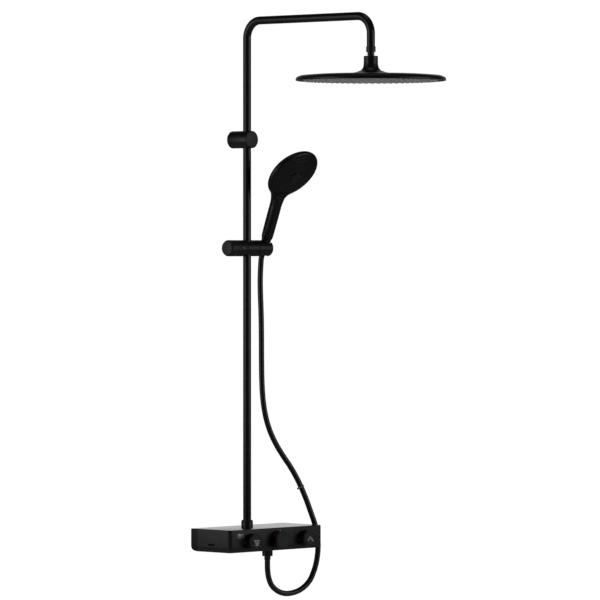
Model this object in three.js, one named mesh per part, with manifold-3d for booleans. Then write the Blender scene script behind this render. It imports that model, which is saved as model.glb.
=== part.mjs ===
// Rainfall shower column: a wall-hung shelf mixer with three front controls, a riser tube, a
// swan-neck arm with a tilting rain head, a sliding bracket, a hand shower and its hose.
// Units are millimetres. +X is right as the user faces it, +Y goes into the wall, +Z is up.
// The origin is on the finished wall, midway between the two water inlets.
import * as THREE from "three";
import { mergeVertices } from "three/addons/utils/BufferGeometryUtils.js";
import Module from "manifold-3d";

// ---------------------------------------------------------------- driving dimensions
const INLET_SPACING = 150; // centre to centre of the two wall inlets
const MIXER_W = 289, MIXER_FRONT = -133, MIXER_BACK = -9.5, MIXER_H = 50; // mixer casing
const MIXER_SEAM = -35; // where the front casing meets the rear cover
const CORNER_R_FRONT = 11, CORNER_R_REAR = 5, BELLY_R = 13; // casing roundings
const WALL = 2.4; // casing wall
const SHELF_TOP = 24.2, SHELF_T = 3.4; // glass-like shelf plate let into the casing
const KNOB_X = 85, KNOB_Z = -1; // side controls either side of the centre control
const KNOB_R = 18, TEMP_R = 21, KNOB_FRONT = -156.5;
const PIPE_R = 9, PIPE_BORE = 7.8, PIPE_Y = -44; // riser tube
const RISER_FOOT = 20.6, RISER_TOP = 875.5;
const BRACKET_Z = 884, BRACKET_R = 19.3, BRACKET_FRONT = -60;
const ARM_Z = 1147, ARM_REACH = 374, BEND_R = 39;
const DROP_Y = PIPE_Y - ARM_REACH; // axis of the down pipe
const BALL_Z = 1051.5, BALL_R = 9.5; // rain-head ball joint
const HEAD_R = 163, HEAD_TOP = 1028.1, HEAD_RIM_BOTTOM = 1005.5;
const SLIDER_Z = 643, SLIDER_R = 18;
const SOCKET_X = 54, LEAN = 20.67 * (Math.PI / 180); // hand-shower socket and its forward lean
const FACE_R = 64, FACE_Y = -26.5, FACE_Z = 186.4; // spray face centre in the leaning frame
const FACE_TILT = 21.4 * (Math.PI / 180); // the spray face looks this far below the handle's normal
const HOSE_R = 6.2, OUTLET_X = 38, OUTLET_Y = -70;
const GAP = 0.3; // clearance between neighbouring solids

// ---------------------------------------------------------------- finishes
const BLACK = { color: 0x17181a, roughness: 0.42, metalness: 0.35 };
const BLACK_PLASTIC = { color: 0x151617, roughness: 0.5, metalness: 0 };
const GLOSS = { color: 0x0b0b0c, roughness: 0.08, metalness: 0 };
const BRASS = { color: 0xb08a45, roughness: 0.35, metalness: 0.9 };
const STEEL = { color: 0xa9abad, roughness: 0.3, metalness: 0.95 };
const RUBBER = { color: 0x1c1c1d, roughness: 0.8, metalness: 0 };
const SILICONE = { color: 0x9fa1a2, roughness: 0.6, metalness: 0 };
const WHITE = { color: 0xd9d9d6, roughness: 0.5, metalness: 0 };
const RED = { color: 0x5a1119, roughness: 0.35, metalness: 0 };

// ---------------------------------------------------------------- geometry helpers
const wasm = await Module();
wasm.setup();

// A closed three.js geometry as a solid; collapsed triangles at a pole are dropped.
function solid(geometry) {
  const flat = geometry.index ? geometry.toNonIndexed() : geometry;
  const bare = new THREE.BufferGeometry().setAttribute("position", flat.getAttribute("position"));
  const merged = mergeVertices(bare, 1e-4);
  const id = merged.index.array;
  const keep = [];
  for (let i = 0; i < id.length; i += 3) {
    const [a, b, c] = [id[i], id[i + 1], id[i + 2]];
    if (a !== b && b !== c && a !== c) keep.push(a, b, c);
  }
  const make = (tri) => new wasm.Manifold(new wasm.Mesh({
    numProp: 3, vertProperties: new Float32Array(merged.attributes.position.array), triVerts: new Uint32Array(tri),
  }));
  const first = make(keep);
  if (first.volume() >= 0) return first;
  for (let i = 0; i < keep.length; i += 3) [keep[i + 1], keep[i + 2]] = [keep[i + 2], keep[i + 1]];
  return make(keep);
}

function geometryOf(body) {
  const m = body.getMesh();
  const g = new THREE.BufferGeometry();
  const p = new Float32Array((m.vertProperties.length / m.numProp) * 3);
  for (let i = 0, n = p.length / 3; i < n; i++)
    for (let k = 0; k < 3; k++) p[i * 3 + k] = m.vertProperties[i * m.numProp + k];
  g.setAttribute("position", new THREE.BufferAttribute(p, 3));
  g.setIndex(new THREE.BufferAttribute(new Uint32Array(m.triVerts), 1));
  g.computeVertexNormals();
  return g;
}

const AXIS = { x: [0, 0, -Math.PI / 2], y: [0, 0, 0], z: [Math.PI / 2, 0, 0] };

// Revolved solid: profile of [radius, height] pairs about the named axis through (x, y, z).
// A profile that leaves the axis free closes on itself and makes a ring.
function turned(profile, axis = "z", at = [0, 0, 0], sides = 16) {
  const pts = profile.map(([r, h]) => new THREE.Vector2(r, h));
  if (profile[0][0] > 0) pts.push(pts[0].clone());
  const g = new THREE.LatheGeometry(pts, sides);
  g.applyMatrix4(new THREE.Matrix4().makeRotationFromEuler(new THREE.Euler(...AXIS[axis])));
  g.translate(...at);
  return solid(g);
}

function rod(r, from, to, axis, at, sides = 12) {
  return turned([[0, from], [r, from], [r, to], [0, to]], axis, at, sides);
}

function ring(outer, inner, from, to, axis, at, sides = 16) {
  return turned([[inner, from], [outer, from], [outer, to], [inner, to]], axis, at, sides);
}

function block(x0, x1, y0, y1, z0, z1) {
  const g = new THREE.BoxGeometry(x1 - x0, y1 - y0, z1 - z0);
  g.translate((x0 + x1) / 2, (y0 + y1) / 2, (z0 + z1) / 2);
  return solid(g);
}

// A stack of closed outlines with equal point counts, joined side to side and capped.
function loft(rings) {
  const n = rings[0].length, pos = [], idx = [];
  for (const r of rings) for (const p of r) pos.push(...p);
  for (let k = 0; k + 1 < rings.length; k++)
    for (let i = 0; i < n; i++) {
      const a = k * n + i, b = k * n + ((i + 1) % n), c = a + n, d = b + n;
      idx.push(a, b, d, a, d, c);
    }
  for (const [k, flip] of [[0, true], [rings.length - 1, false]]) {
    const mid = [0, 1, 2].map((j) => rings[k].reduce((s, p) => s + p[j], 0) / n);
    const m = pos.length / 3;
    pos.push(...mid);
    for (let i = 0; i < n; i++) {
      const a = k * n + i, b = k * n + ((i + 1) % n);
      idx.push(...(flip ? [m, b, a] : [m, a, b]));
    }
  }
  const g = new THREE.BufferGeometry();
  g.setAttribute("position", new THREE.Float32BufferAttribute(pos, 3));
  g.setIndex(idx);
  return solid(g);
}

// Rounded rectangle outline in plan, pulled in by d all round.
function plan(x0, x1, y0, y1, rFront, rRear, z, d = 0, arc = 3) {
  const out = [];
  const corner = (cx, cy, r, a0) => {
    for (let i = 0; i <= arc; i++) {
      const a = a0 + (i / arc) * (Math.PI / 2);
      out.push([cx + r * Math.cos(a), cy + r * Math.sin(a), z]);
    }
  };
  const f = Math.max(rFront - d, 0.4), b = Math.max(rRear - d, 0.4);
  corner(x1 - d - b, y1 - d - b, b, 0);
  corner(x0 + d + b, y1 - d - b, b, Math.PI / 2);
  corner(x0 + d + f, y0 + d + f, f, Math.PI);
  corner(x1 - d - f, y0 + d + f, f, Math.PI * 1.5);
  return out;
}

// A tube path that keeps its own stations, so that straight runs take no needless steps.
class StationPath extends THREE.Curve {
  constructor(points) {
    super();
    this.points = points.map((p) => new THREE.Vector3(...p));
  }
  getPoint(t) {
    const f = t * (this.points.length - 1), i = Math.min(Math.floor(f), this.points.length - 2);
    return this.points[i].clone().lerp(this.points[i + 1], f - i);
  }
  getSpacedPoints() {
    return this.points.map((p) => p.clone());
  }
  computeFrenetFrames() {
    const P = this.points, n = P.length, tangents = [], normals = [], binormals = [];
    for (let i = 0; i < n; i++) {
      const a = P[Math.max(i - 1, 0)], b = P[i], c = P[Math.min(i + 1, n - 1)];
      const t = new THREE.Vector3();
      if (i > 0) t.add(b.clone().sub(a).normalize());
      if (i < n - 1) t.add(c.clone().sub(b).normalize());
      tangents.push(t.normalize());
    }
    let nrm = new THREE.Vector3(1, 0, 0);
    for (let i = 0; i < n; i++) {
      nrm = nrm.clone().addScaledVector(tangents[i], -nrm.dot(tangents[i])).normalize();
      normals.push(nrm);
      binormals.push(new THREE.Vector3().crossVectors(tangents[i], nrm));
    }
    return { tangents, normals, binormals };
  }
}

function sweep(points, outer, inner, sides) {
  const circle = (r, Type) => {
    const s = new Type();
    for (let i = 0; i < sides; i++) {
      const a = (i / sides) * Math.PI * 2;
      i ? s.lineTo(r * Math.cos(a), r * Math.sin(a)) : s.moveTo(r, 0);
    }
    s.closePath();
    return s;
  };
  const shape = circle(outer, THREE.Shape);
  if (inner) shape.holes.push(circle(inner, THREE.Path));
  const path = new StationPath(points);
  return solid(new THREE.ExtrudeGeometry(shape, {
    steps: points.length - 1, bevelEnabled: false, extrudePath: path, curveSegments: 1,
  }));
}

// ---------------------------------------------------------------- scene graph
const column = new THREE.Group();
const place = (parent, name, body, look) => {
  const mesh = new THREE.Mesh(geometryOf(body), new THREE.MeshStandardMaterial(look));
  mesh.name = name;
  parent.add(mesh);
  return mesh;
};
const group = (parent, x, y, z, lean = 0) => {
  const g = new THREE.Group();
  g.position.set(x, y, z);
  g.rotation.x = lean;
  parent.add(g);
  return g;
};

// ---------------------------------------------------------------- wall connections
for (const [side, sx] of [["left", -1], ["right", 1]]) {
  const inlet = group(column, (sx * INLET_SPACING) / 2, 0, 0);
  place(inlet, `wall_escutcheon_${side}`,
    turned([[13.6, 0], [24, 0], [24, -6.4], [22, -8.9], [13.6, -8.9]], "y", [0, 0, 0], 18), BLACK);
  place(inlet, `inlet_union_${side}`,
    turned([[7, 18], [10.4, 18], [10.4, -1], [13, -1], [13, -22], [7, -22]], "y", [0, 0, 0], 12), BRASS);
  place(inlet, `filter_washer_${side}`, ring(12.6, 6.5, -24.3, -22.3, "y", [0, 0, 0], 12), RUBBER);
  place(inlet, `union_nut_${side}`,
    turned([[13.4, -14.5], [17, -14.5], [17, -30], [10.5, -30], [10.5, -27.4], [13.4, -27.4]], "y", [0, 0, 0], 12), STEEL);
}

// ---------------------------------------------------------------- mixer casing
const X0 = -MIXER_W / 2, X1 = MIXER_W / 2, ZB = -MIXER_H / 2, ZT = MIXER_H / 2;
const casingRings = (inset, zLow, zHigh, belly) => {
  const rings = [], steps = 3;
  for (let i = 0; i <= steps; i++) {
    const a = (i / steps) * (Math.PI / 2);
    rings.push(plan(X0 + inset, X1 - inset, MIXER_FRONT + inset, MIXER_BACK - inset,
      CORNER_R_FRONT - inset, Math.max(CORNER_R_REAR - inset, 1), zLow + belly * (1 - Math.sin(a)), belly * (1 - Math.cos(a))));
  }
  rings.reverse();
  rings.push(plan(X0 + inset, X1 - inset, MIXER_FRONT + inset, MIXER_BACK - inset,
    CORNER_R_FRONT - inset, Math.max(CORNER_R_REAR - inset, 1), zHigh, 0));
  return rings.sort((p, q) => p[0][2] - q[0][2]);
};
const casing = loft(casingRings(0, ZB, ZT, BELLY_R)).subtract(loft(casingRings(WALL, ZB + WALL, ZT + 5, BELLY_R - WALL)));
const frontHalf = block(X0 - 5, X1 + 5, MIXER_FRONT - 5, MIXER_SEAM - GAP, ZB - 5, ZT + 5);
const rearHalf = block(X0 - 5, X1 + 5, MIXER_SEAM, 0, ZB - 5, ZT + 5);
let shell = casing.intersect(frontHalf);
for (const [x, r] of [[-KNOB_X, 9], [0, 10], [KNOB_X, 9]])
  shell = shell.subtract(rod(r, MIXER_FRONT - 3, MIXER_FRONT + 6, "y", [x, 0, KNOB_Z], 12));
shell = shell.subtract(rod(11.2, ZB - 3, ZB + 6, "z", [OUTLET_X, OUTLET_Y, 0], 12));
shell = shell.subtract(block(X0 - 1, X0 + 4, -90, -66, -9.6, -6)); // finger slot in the left end
place(column, "mixer_shell", shell, BLACK_PLASTIC);

let rear = casing.intersect(rearHalf);
for (const sx of [-1, 1])
  rear = rear.subtract(rod(18.6, MIXER_BACK - 8, MIXER_BACK + 5, "y", [(sx * INLET_SPACING) / 2, 0, 0], 16));
place(column, "rear_cover", rear, BLACK_PLASTIC);

const lip = WALL + GAP;
place(column, "shelf_plate", loft([
  plan(X0 + lip, X1 - lip, MIXER_FRONT + lip, MIXER_BACK - lip, CORNER_R_FRONT - lip, CORNER_R_REAR - lip, SHELF_TOP - SHELF_T),
  plan(X0 + lip, X1 - lip, MIXER_FRONT + lip, MIXER_BACK - lip, CORNER_R_FRONT - lip, CORNER_R_REAR - lip, SHELF_TOP),
]).subtract(rod(9.7, 0, 40, "z", [0, PIPE_Y, 0], 16)), GLOSS);

// ---------------------------------------------------------------- waterway inside the casing
let valve = rod(12, -108, 108, "x", [0, -76, KNOB_Z], 12);
for (const x of [-KNOB_X, 0, KNOB_X]) valve = valve.add(rod(15.5, -121, -64, "y", [x, 0, KNOB_Z], 12));
for (const sx of [-1, 1]) {
  valve = valve.add(rod(9.9, -76, -24.7, "y", [(sx * INLET_SPACING) / 2, 0, 0], 12));
  valve = valve.add(rod(12.6, -27, -24.7, "y", [(sx * INLET_SPACING) / 2, 0, 0], 12));
}
valve = valve.add(rod(8, -76, PIPE_Y, "y", [0, 0, 2], 12)).add(rod(11.5, -6, 17.9, "z", [0, PIPE_Y, 0], 12));
valve = valve.add(rod(11, -20.5, 0, "z", [OUTLET_X, OUTLET_Y, 0], 12));
for (const x of [-KNOB_X, 0, KNOB_X]) valve = valve.subtract(rod(12.3, -130, -88, "y", [x, 0, KNOB_Z], 12));
for (const sx of [-1, 1]) valve = valve.subtract(rod(6.5, -60, 0, "y", [(sx * INLET_SPACING) / 2, 0, 0], 8));
valve = valve.subtract(rod(6.5, 0, 40, "z", [0, PIPE_Y, 0], 8)).subtract(rod(8.3, -40, -9, "z", [OUTLET_X, OUTLET_Y, 0], 12));
place(column, "valve_body", valve, BRASS);

place(column, "thermostat_cartridge",
  turned([[0, -88.4], [12, -88.4], [12, -121.3], [15.4, -121.3], [15.4, -127.5], [6, -127.5], [6, -146], [0, -146]], "y", [0, 0, KNOB_Z], 12), WHITE);
place(column, "flow_cartridge_left",
  turned([[0, -88.4], [12, -88.4], [12, -121.3], [15.4, -121.3], [15.4, -127.5], [5, -127.5], [5, -141], [0, -141]], "y", [-KNOB_X, 0, KNOB_Z], 12), WHITE);
place(column, "flow_cartridge_right",
  turned([[0, -88.4], [12, -88.4], [12, -121.3], [15.4, -121.3], [15.4, -127.5], [5, -127.5], [5, -141], [0, -141]], "y", [KNOB_X, 0, KNOB_Z], 12), WHITE);

// ---------------------------------------------------------------- front controls
for (const [side, x] of [["left", -KNOB_X], ["right", KNOB_X]]) {
  const control = group(column, x, 0, KNOB_Z);
  place(control, `volume_ring_${side}`, turned([
    [5.5, -133.5], [16.8, -133.5], [KNOB_R, -135], [KNOB_R, -155.1], [16.9, KNOB_FRONT],
    [14.8, KNOB_FRONT], [14.8, -143.5], [10, -143.5], [10, -139], [5.5, -139]], "y", [0, 0, 0], 20), BLACK);
  place(control, `push_button_${side}`, turned([
    [0, -145.8], [7, -145.8], [7, -148.5], [14.4, -148.5], [14.4, -156.1], [13.8, -156.7], [0, -156.7]], "y", [0, 0, 0], 18), BLACK);
}
const tempAxis = group(column, 0, 0, KNOB_Z);
const SAFE = 137.5 * (Math.PI / 180); // angle of the stop button round the knob, from +X
const safeRod = (r, from, to, sides) => {
  const g = new THREE.CylinderGeometry(r, r, to - from, sides);
  g.translate(0, (from + to) / 2, 0);
  g.rotateZ(SAFE - Math.PI / 2);
  // the cylinder's axis now points along the knob's radius in the X-Z plane
  g.applyMatrix4(new THREE.Matrix4().set(1, 0, 0, 0, 0, 0, 1, -144.5, 0, 1, 0, 0, 0, 0, 0, 1));
  return solid(g);
};
place(tempAxis, "temperature_knob", turned([
  [6.3, -133.6], [19.6, -133.6], [TEMP_R, -135], [TEMP_R, -155], [19.8, -156.1],
  [18.9, -156.1], [18.9, -154.7], [6.3, -154.7]], "y", [0, 0, 0], 22)
  .subtract(turned([[9, -130], [17.6, -130], [17.6, -152.1], [9, -152.1]], "y", [0, 0, 0], 18))
  .subtract(safeRod(6.4, 12, 24, 16)), BLACK);
place(tempAxis, "temperature_knob_cap", rod(18.6, KNOB_FRONT, -155, "y", [0, 0, 0], 20), BLACK);
place(tempAxis, "safety_button", safeRod(6, 14.4, 21.5, 16), RED);

// ---------------------------------------------------------------- riser and wall bracket
const riserAxis = group(column, 0, PIPE_Y, 0);
place(riserAxis, "riser_seal", ring(9, 6, 18.2, 20.3, "z", [0, 0, 0], 12), RUBBER);
place(riserAxis, "riser_nut",
  turned([[9.3, 24.5], [13, 24.5], [13, 36.5], [11.5, 39.5], [9.3, 39.5]], "z", [0, 0, 0], 18), BLACK);
place(riserAxis, "riser_tube", ring(PIPE_R, PIPE_BORE, RISER_FOOT, RISER_TOP, "z", [0, 0, 0], 16), BLACK);
place(riserAxis, "joint_sleeve", ring(7.4, 5.6, 846, 908, "z", [0, 0, 0], 12), BLACK_PLASTIC);

const bracket = group(column, 0, 0, BRACKET_Z);
place(bracket, "wall_bracket_body", turned([
  [17.3, -0.5], [BRACKET_R, -0.5], [BRACKET_R, -56.7], [0, -56.7], [0, -28], [12.4, -28], [12.4, -4.4], [17.3, -4.4]], "y", [0, 0, 0], 20)
  .subtract(rod(9.35, -30, 30, "z", [0, PIPE_Y, 0], 16))
  .subtract(rod(2.8, -25, -10, "z", [0, -14, 0], 8)), BLACK);
place(bracket, "bracket_cap",
  turned([[0, -57], [BRACKET_R, -57], [BRACKET_R, -58.8], [18, BRACKET_FRONT], [0, BRACKET_FRONT]], "y", [0, 0, 0], 20), BLACK);
place(bracket, "bracket_wall_stub",
  turned([[3, 0], [17, 0], [17, -4.1], [12.1, -4.1], [12.1, -24], [6, -24], [6, -12], [3, -12]], "y", [0, 0, 0], 16), STEEL);
place(bracket, "wall_screw", turned([[0, -1], [2.4, -1], [2.4, -12.3], [5, -12.3], [5, -16], [0, -16]], "y", [0, 0, 0], 8), STEEL);
place(bracket, "bracket_grub_screw", rod(2.5, -17.5, -12.4, "z", [0, -14, 0], 8), STEEL);

// ---------------------------------------------------------------- swan-neck arm
const armPoints = [[0, PIPE_Y, 876]];
const BEND_STEPS = 5;
for (let i = 0; i <= BEND_STEPS; i++) {
  const a = (i / BEND_STEPS) * (Math.PI / 2);
  armPoints.push([0, PIPE_Y - BEND_R + BEND_R * Math.cos(a), ARM_Z - BEND_R + BEND_R * Math.sin(a)]);
}
for (let i = 0; i <= BEND_STEPS; i++) {
  const a = (i / BEND_STEPS) * (Math.PI / 2);
  armPoints.push([0, DROP_Y + BEND_R - BEND_R * Math.sin(a), ARM_Z - BEND_R + BEND_R * Math.cos(a)]);
}
armPoints.push([0, DROP_Y, 1070.2]);
place(column, "arm_tube", sweep(armPoints, PIPE_R, PIPE_BORE, 12), BLACK);

const drop = group(column, 0, DROP_Y, 0);
place(drop, "arm_end_collar", turned([
  [8.1, 1068], [10, 1068], [10.4, 1068.6], [10.4, 1079.4], [10, 1080], [9.35, 1080], [9.35, 1069.8], [8.1, 1069.8]], "z", [0, 0, 0], 16), BLACK);
const ballProfile = [];
for (let i = 0; i <= 7; i++) {
  const a = THREE.MathUtils.lerp(-71, 51, i / 7) * (Math.PI / 180); // from the bore's mouth to the neck
  ballProfile.push([BALL_R * Math.cos(a), BALL_Z + BALL_R * Math.sin(a)]);
}
place(drop, "ball_nipple", turned([
  [3.1, 1084], [3.1, ballProfile[0][1]], ...ballProfile, [7.75, 1060.5], [7.75, 1069.9], [7.4, 1070], [7.4, 1084]], "z", [0, 0, 0], 16), BRASS);

// ---------------------------------------------------------------- rain head
const arcProfile = (r, a0, a1, n) => {
  const out = [];
  for (let i = 0; i <= n; i++) {
    const a = THREE.MathUtils.lerp(a0, a1, i / n) * (Math.PI / 180);
    out.push([r * Math.cos(a), BALL_Z + r * Math.sin(a)]);
  }
  return out;
};
place(drop, "ball_seat", turned([...arcProfile(12, -30, 24.6, 4), ...arcProfile(9.92, 30.3, -37.2, 4)], "z", [0, 0, 0], 16), WHITE);
place(drop, "head_hub", turned([
  [10.6, 1059.4], [15, 1059.4], [15.5, 1058.9], [15.5, 1043], [16.4, 1036], [18.6, 1031.5], [22, 1028.4],
  [9.4, 1028.4], ...arcProfile(12.46, -40.2, 30.6, 5)], "z", [0, 0, 0], 18), BLACK);
place(drop, "head_shell", turned([
  [9, HEAD_TOP], [22, HEAD_TOP], [30, 1025.4], [40, 1022.7], [52, 1021], [90, 1020.2], [120, 1019.3], [152, 1017.3], [160, 1014.2],
  [HEAD_R, 1010.3], [HEAD_R, HEAD_RIM_BOTTOM + 2], [161.4, HEAD_RIM_BOTTOM], [158.9, HEAD_RIM_BOTTOM],
  [158.9, 1012.3], [150, 1014.6], [60, 1017.6], [30, 1022], [20, 1024.8], [9, 1024.8]], "z", [0, 0, 0], 26), BLACK_PLASTIC);
place(drop, "head_spray_plate", rod(158.5, HEAD_RIM_BOTTOM + 1.8, HEAD_RIM_BOTTOM + 4, "z", [0, 0, 0], 26), BLACK_PLASTIC);
place(drop, "head_nozzle_mat", rod(154, HEAD_RIM_BOTTOM + 4.4, HEAD_RIM_BOTTOM + 6.2, "z", [0, 0, 0], 26), SILICONE);

// ---------------------------------------------------------------- slider on the riser
const slider = group(column, 0, PIPE_Y, SLIDER_Z);
place(slider, "slider_body", rod(SLIDER_R, -13.5, 24, "x", [0, 0, 0], 20)
  .subtract(rod(10.75, -30, 30, "z", [0, 0, 0], 16))
  .subtract(rod(7.3, 11.4, 30, "x", [0, 0, 0], 12))
  .subtract(rod(4.4, -20, -5, "x", [0, 0, 0], 12)), BLACK);
place(slider, "slider_liner", ring(10.4, 9.35, -13.5, 13.5, "z", [0, 0, 0], 16), BLACK_PLASTIC);
place(slider, "slider_ring", ring(SLIDER_R, 5, -32.4, -13.9, "x", [0, 0, 0], 20), BLACK);
place(slider, "lock_knob", turned([
  [0, -61], [14, -61], [15, -60], [15, -45], [4.7, -45], [4.7, -32.8], [SLIDER_R, -32.8], [SLIDER_R, -58.5],
  [17, -62.6], [14.6, -64.6], [0, -65]], "x", [0, 0, 0], 20), BLACK);
place(slider, "clamp_screw", rod(4.1, -58, -10.9, "x", [0, 0, 0], 12), STEEL);

// the socket: a cone that leans forward, open at the bottom, with a slot in the outer end for the hose
const CONE = (q) => 7.5 + 0.125 * (q + 6); // radius of the hose nut's cone at height q along the lean
const leaning = (body) => {
  const g = geometryOf(body);
  g.rotateX(LEAN);
  g.translate(SOCKET_X, 0, 0);
  return solid(g);
};
const socketCut = leaning(turned([
  [0, -30], [11, -30], [11, -7.2], [CONE(-7) + 0.35, -7], [CONE(26) + 0.35, 26], [CONE(26) + 4, 30], [0, 30]], "z", [0, 0, 0], 18));
const hoseSlot = leaning(block(0, 30, -6.9, 6.9, -30, 30));
place(slider, "cone_holder", turned([
  [0, 12], [7, 12], [7, 24.3], [SLIDER_R, 24.3], [SLIDER_R, 61.5], [17, 65], [14.6, 67], [0, 67]], "x", [0, 0, 0], 20)
  .subtract(socketCut).subtract(hoseSlot), BLACK);

// ---------------------------------------------------------------- hand shower, in its leaning frame
const hand = group(column, SOCKET_X, PIPE_Y, SLIDER_Z, LEAN);
place(hand, "hose_cone_nut", turned([
  [6, -6], [CONE(-6), -6], [CONE(24), 24], [9.5, 24], [9.5, 9], [6, 9]], "z", [0, 0, 0], 18), BLACK);
place(hand, "hose_ferrule_upper", turned([
  [4, -14], [6.6, -14], [6.6, -6.4], [5.6, -6.4], [5.6, 9.4], [8.8, 9.4], [8.8, 11], [4, 11]], "z", [0, 0, 0], 12), STEEL);

const oval = (z, cy, rx, ry, tilt, n = 16) => {
  const out = [];
  for (let i = 0; i < n; i++) {
    const a = (i / n) * Math.PI * 2;
    const x = rx * Math.cos(a), y = ry * Math.sin(a);
    out.push([x, cy + y * Math.cos(tilt), z + y * Math.sin(tilt)]);
  }
  return out;
};
const faceFrame = new THREE.Matrix4().makeRotationX(Math.PI / 2 + FACE_TILT).setPosition(0, FACE_Y, FACE_Z);
const faced = (body) => solid(geometryOf(body).applyMatrix4(faceFrame));
// in the face frame +Z points out of the spray face
let handset = loft([
  oval(24.4, 0, 11.4, 11.4, 0), oval(27, 0, 11.9, 11.9, 0), oval(70, 0, 12.3, 12.3, 0), oval(104, 0, 12.2, 12, 0),
  oval(116, -0.4, 14, 12, -0.1), oval(128, -0.6, 19, 12, -0.25), oval(142, -1.5, 27, 11.5, -0.36), oval(160, -8, 36, 9, -0.37)]);
handset = handset.add(faced(turned([
  [0, -25], [18, -24.6], [36, -22], [50, -17.4], [60, -11], [63.4, -6.5], [FACE_R, -3.5], [63.2, -0.5], [60.8, 2.2], [0, 2.2]], "z", [0, 0, 0], 22)));
handset = handset.add(rod(9.1, 13.6, 26, "z", [0, 0, 0], 12));
handset = handset.subtract(faced(rod(58.5, -12.5, 5, "z", [0, 0, 0], 22)));
handset = handset.subtract(rod(6, 0, 150, "z", [0, 0, 0], 12));
place(hand, "handset_shell", handset, BLACK_PLASTIC);
const face = new THREE.Group();
face.matrixAutoUpdate = false;
face.matrix.copy(faceFrame);
hand.add(face);
place(face, "handset_face_plate", turned([
  [15.4, 6.6], [36, 4.2], [58.1, -1.4], [58.1, 1.8], [36, 7.2], [15.4, 9.6]], "z", [0, 0, 0], 22), BLACK_PLASTIC);
place(face, "handset_nozzle_mat", turned([[16, 4.2], [36, 1.8], [56, -3.4], [56, -1.6], [36, 3.5], [16, 6]], "z", [0, 0, 0], 18), RUBBER);
place(face, "spray_diverter", rod(30, -12, -9, "z", [0, 0, 0], 16), WHITE);
place(face, "spray_button", turned([[0, 1.4], [6, 1.4], [6, 8], [15, 8], [15, 9.8], [13.5, 11], [0, 11.6]], "z", [0, 0, 0], 18), BLACK);

// ---------------------------------------------------------------- hose, tie and outlet
const outlet = group(column, OUTLET_X, OUTLET_Y, 0);
place(outlet, "outlet_nipple", turned([
  [5, -10], [8, -10], [8, -21], [10.6, -21], [10.6, -26.5], [9.9, -26.5], [9.9, -33], [5, -33]], "z", [0, 0, 0], 12), BRASS);
place(outlet, "hose_nut_lower", turned([
  [10.25, -27], [10.9, -27], [11.7, -28], [11.7, -40.3], [10.6, -41.5], [7.35, -41.5], [7.35, -38], [10.25, -38]], "z", [0, 0, 0], 16), BLACK);
place(outlet, "hose_ferrule_lower", turned([
  [4, -35.6], [9.6, -35.6], [9.6, -37.6], [7, -37.6], [7, -50], [4, -50]], "z", [0, 0, 0], 12), BLACK);

// stations of the hose centreline, from the outlet up to the hand shower's cone
const HOSE_LOWER = [
  [38, -70, -50.4], [38, -70, -64], [39, -70.2, -78], [42.2, -71, -93], [49, -72.5, -107], [60, -75, -117.5], [73, -78, -124.2],
  [87, -81.3, -127], [103, -84.9, -126], [120, -88.9, -121.3], [136, -92.6, -112], [149, -95.7, -98.5], [158.5, -97.8, -80.5],
  [165, -99.3, -61], [168.8, -100.2, -39], [169.8, -100.2, -16], [167.5, -99.2, 8], [161, -96, 32], [153.8, -92.2, 54],
  [145.8, -87.6, 79], [136, -82, 105.5], [125, -75.8, 131], [112, -68.5, 156], [98.4, -60.9, 178.5], [86.5, -54.2, 200],
  [75.5, -48, 224], [67, -43.4, 249], [60.8, -40, 277], [57, -37.8, 307], [54.9, -36.6, 345], [54.1, -36.2, 392], [54, -36, 440], [54, -35.6, 475]];
const HOSE_MIDDLE = [[54, -35.6, 475.3], [54, -35, 496], [54, -34, 518], [54, -32.9, 540], [54, -32.5, 553]];
const HOSE_UPPER = [[54, -32.5, 553.3], [54, -32.3, 571], [54, -32.9, 590], [54, -34.3, 609],
  [54, -44 + 23 * Math.sin(LEAN), 643 - 23 * Math.cos(LEAN)], [54, -44 + 14.4 * Math.sin(LEAN), 643 - 14.4 * Math.cos(LEAN)]];
place(column, "hose_lower", sweep(HOSE_LOWER, HOSE_R, 0, 8), RUBBER);
place(column, "hose_middle", sweep(HOSE_MIDDLE, HOSE_R, 0, 8), RUBBER);
place(column, "hose_upper", sweep(HOSE_UPPER, HOSE_R, 0, 8), RUBBER);

const tie = group(column, 134.8, -81.3, 108.4);
tie.quaternion.setFromUnitVectors(new THREE.Vector3(0, 0, 1), new THREE.Vector3(-0.363, 0.206, 0.909).normalize());
place(tie, "hose_tie", ring(8.2, 6.9, -1.6, 1.6, "z", [0, 0, 0], 12).add(block(-12.4, -7.4, -2.2, 2.2, -1.6, 1.6)), WHITE);

export default column;
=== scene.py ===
"""Looks for the rainfall shower column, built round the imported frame. Lengths in the helpers are millimetres."""
import math

import bmesh
import bpy
import numpy as np
from mathutils import Matrix, Vector


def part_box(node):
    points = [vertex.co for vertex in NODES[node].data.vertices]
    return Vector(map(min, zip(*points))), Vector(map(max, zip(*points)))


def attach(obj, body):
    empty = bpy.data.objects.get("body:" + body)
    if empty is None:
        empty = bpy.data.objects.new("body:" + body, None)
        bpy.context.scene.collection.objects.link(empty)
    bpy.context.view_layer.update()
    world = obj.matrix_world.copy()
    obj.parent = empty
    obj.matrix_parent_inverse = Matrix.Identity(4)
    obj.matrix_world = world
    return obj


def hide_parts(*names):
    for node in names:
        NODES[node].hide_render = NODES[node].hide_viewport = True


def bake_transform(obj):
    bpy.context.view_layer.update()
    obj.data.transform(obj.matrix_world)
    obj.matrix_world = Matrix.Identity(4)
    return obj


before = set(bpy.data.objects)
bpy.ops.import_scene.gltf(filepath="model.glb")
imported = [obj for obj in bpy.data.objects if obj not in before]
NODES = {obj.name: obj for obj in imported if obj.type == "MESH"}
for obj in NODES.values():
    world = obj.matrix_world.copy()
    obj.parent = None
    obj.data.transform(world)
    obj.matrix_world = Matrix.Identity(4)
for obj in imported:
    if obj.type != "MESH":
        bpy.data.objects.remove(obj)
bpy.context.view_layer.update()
MM = 0.001

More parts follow.
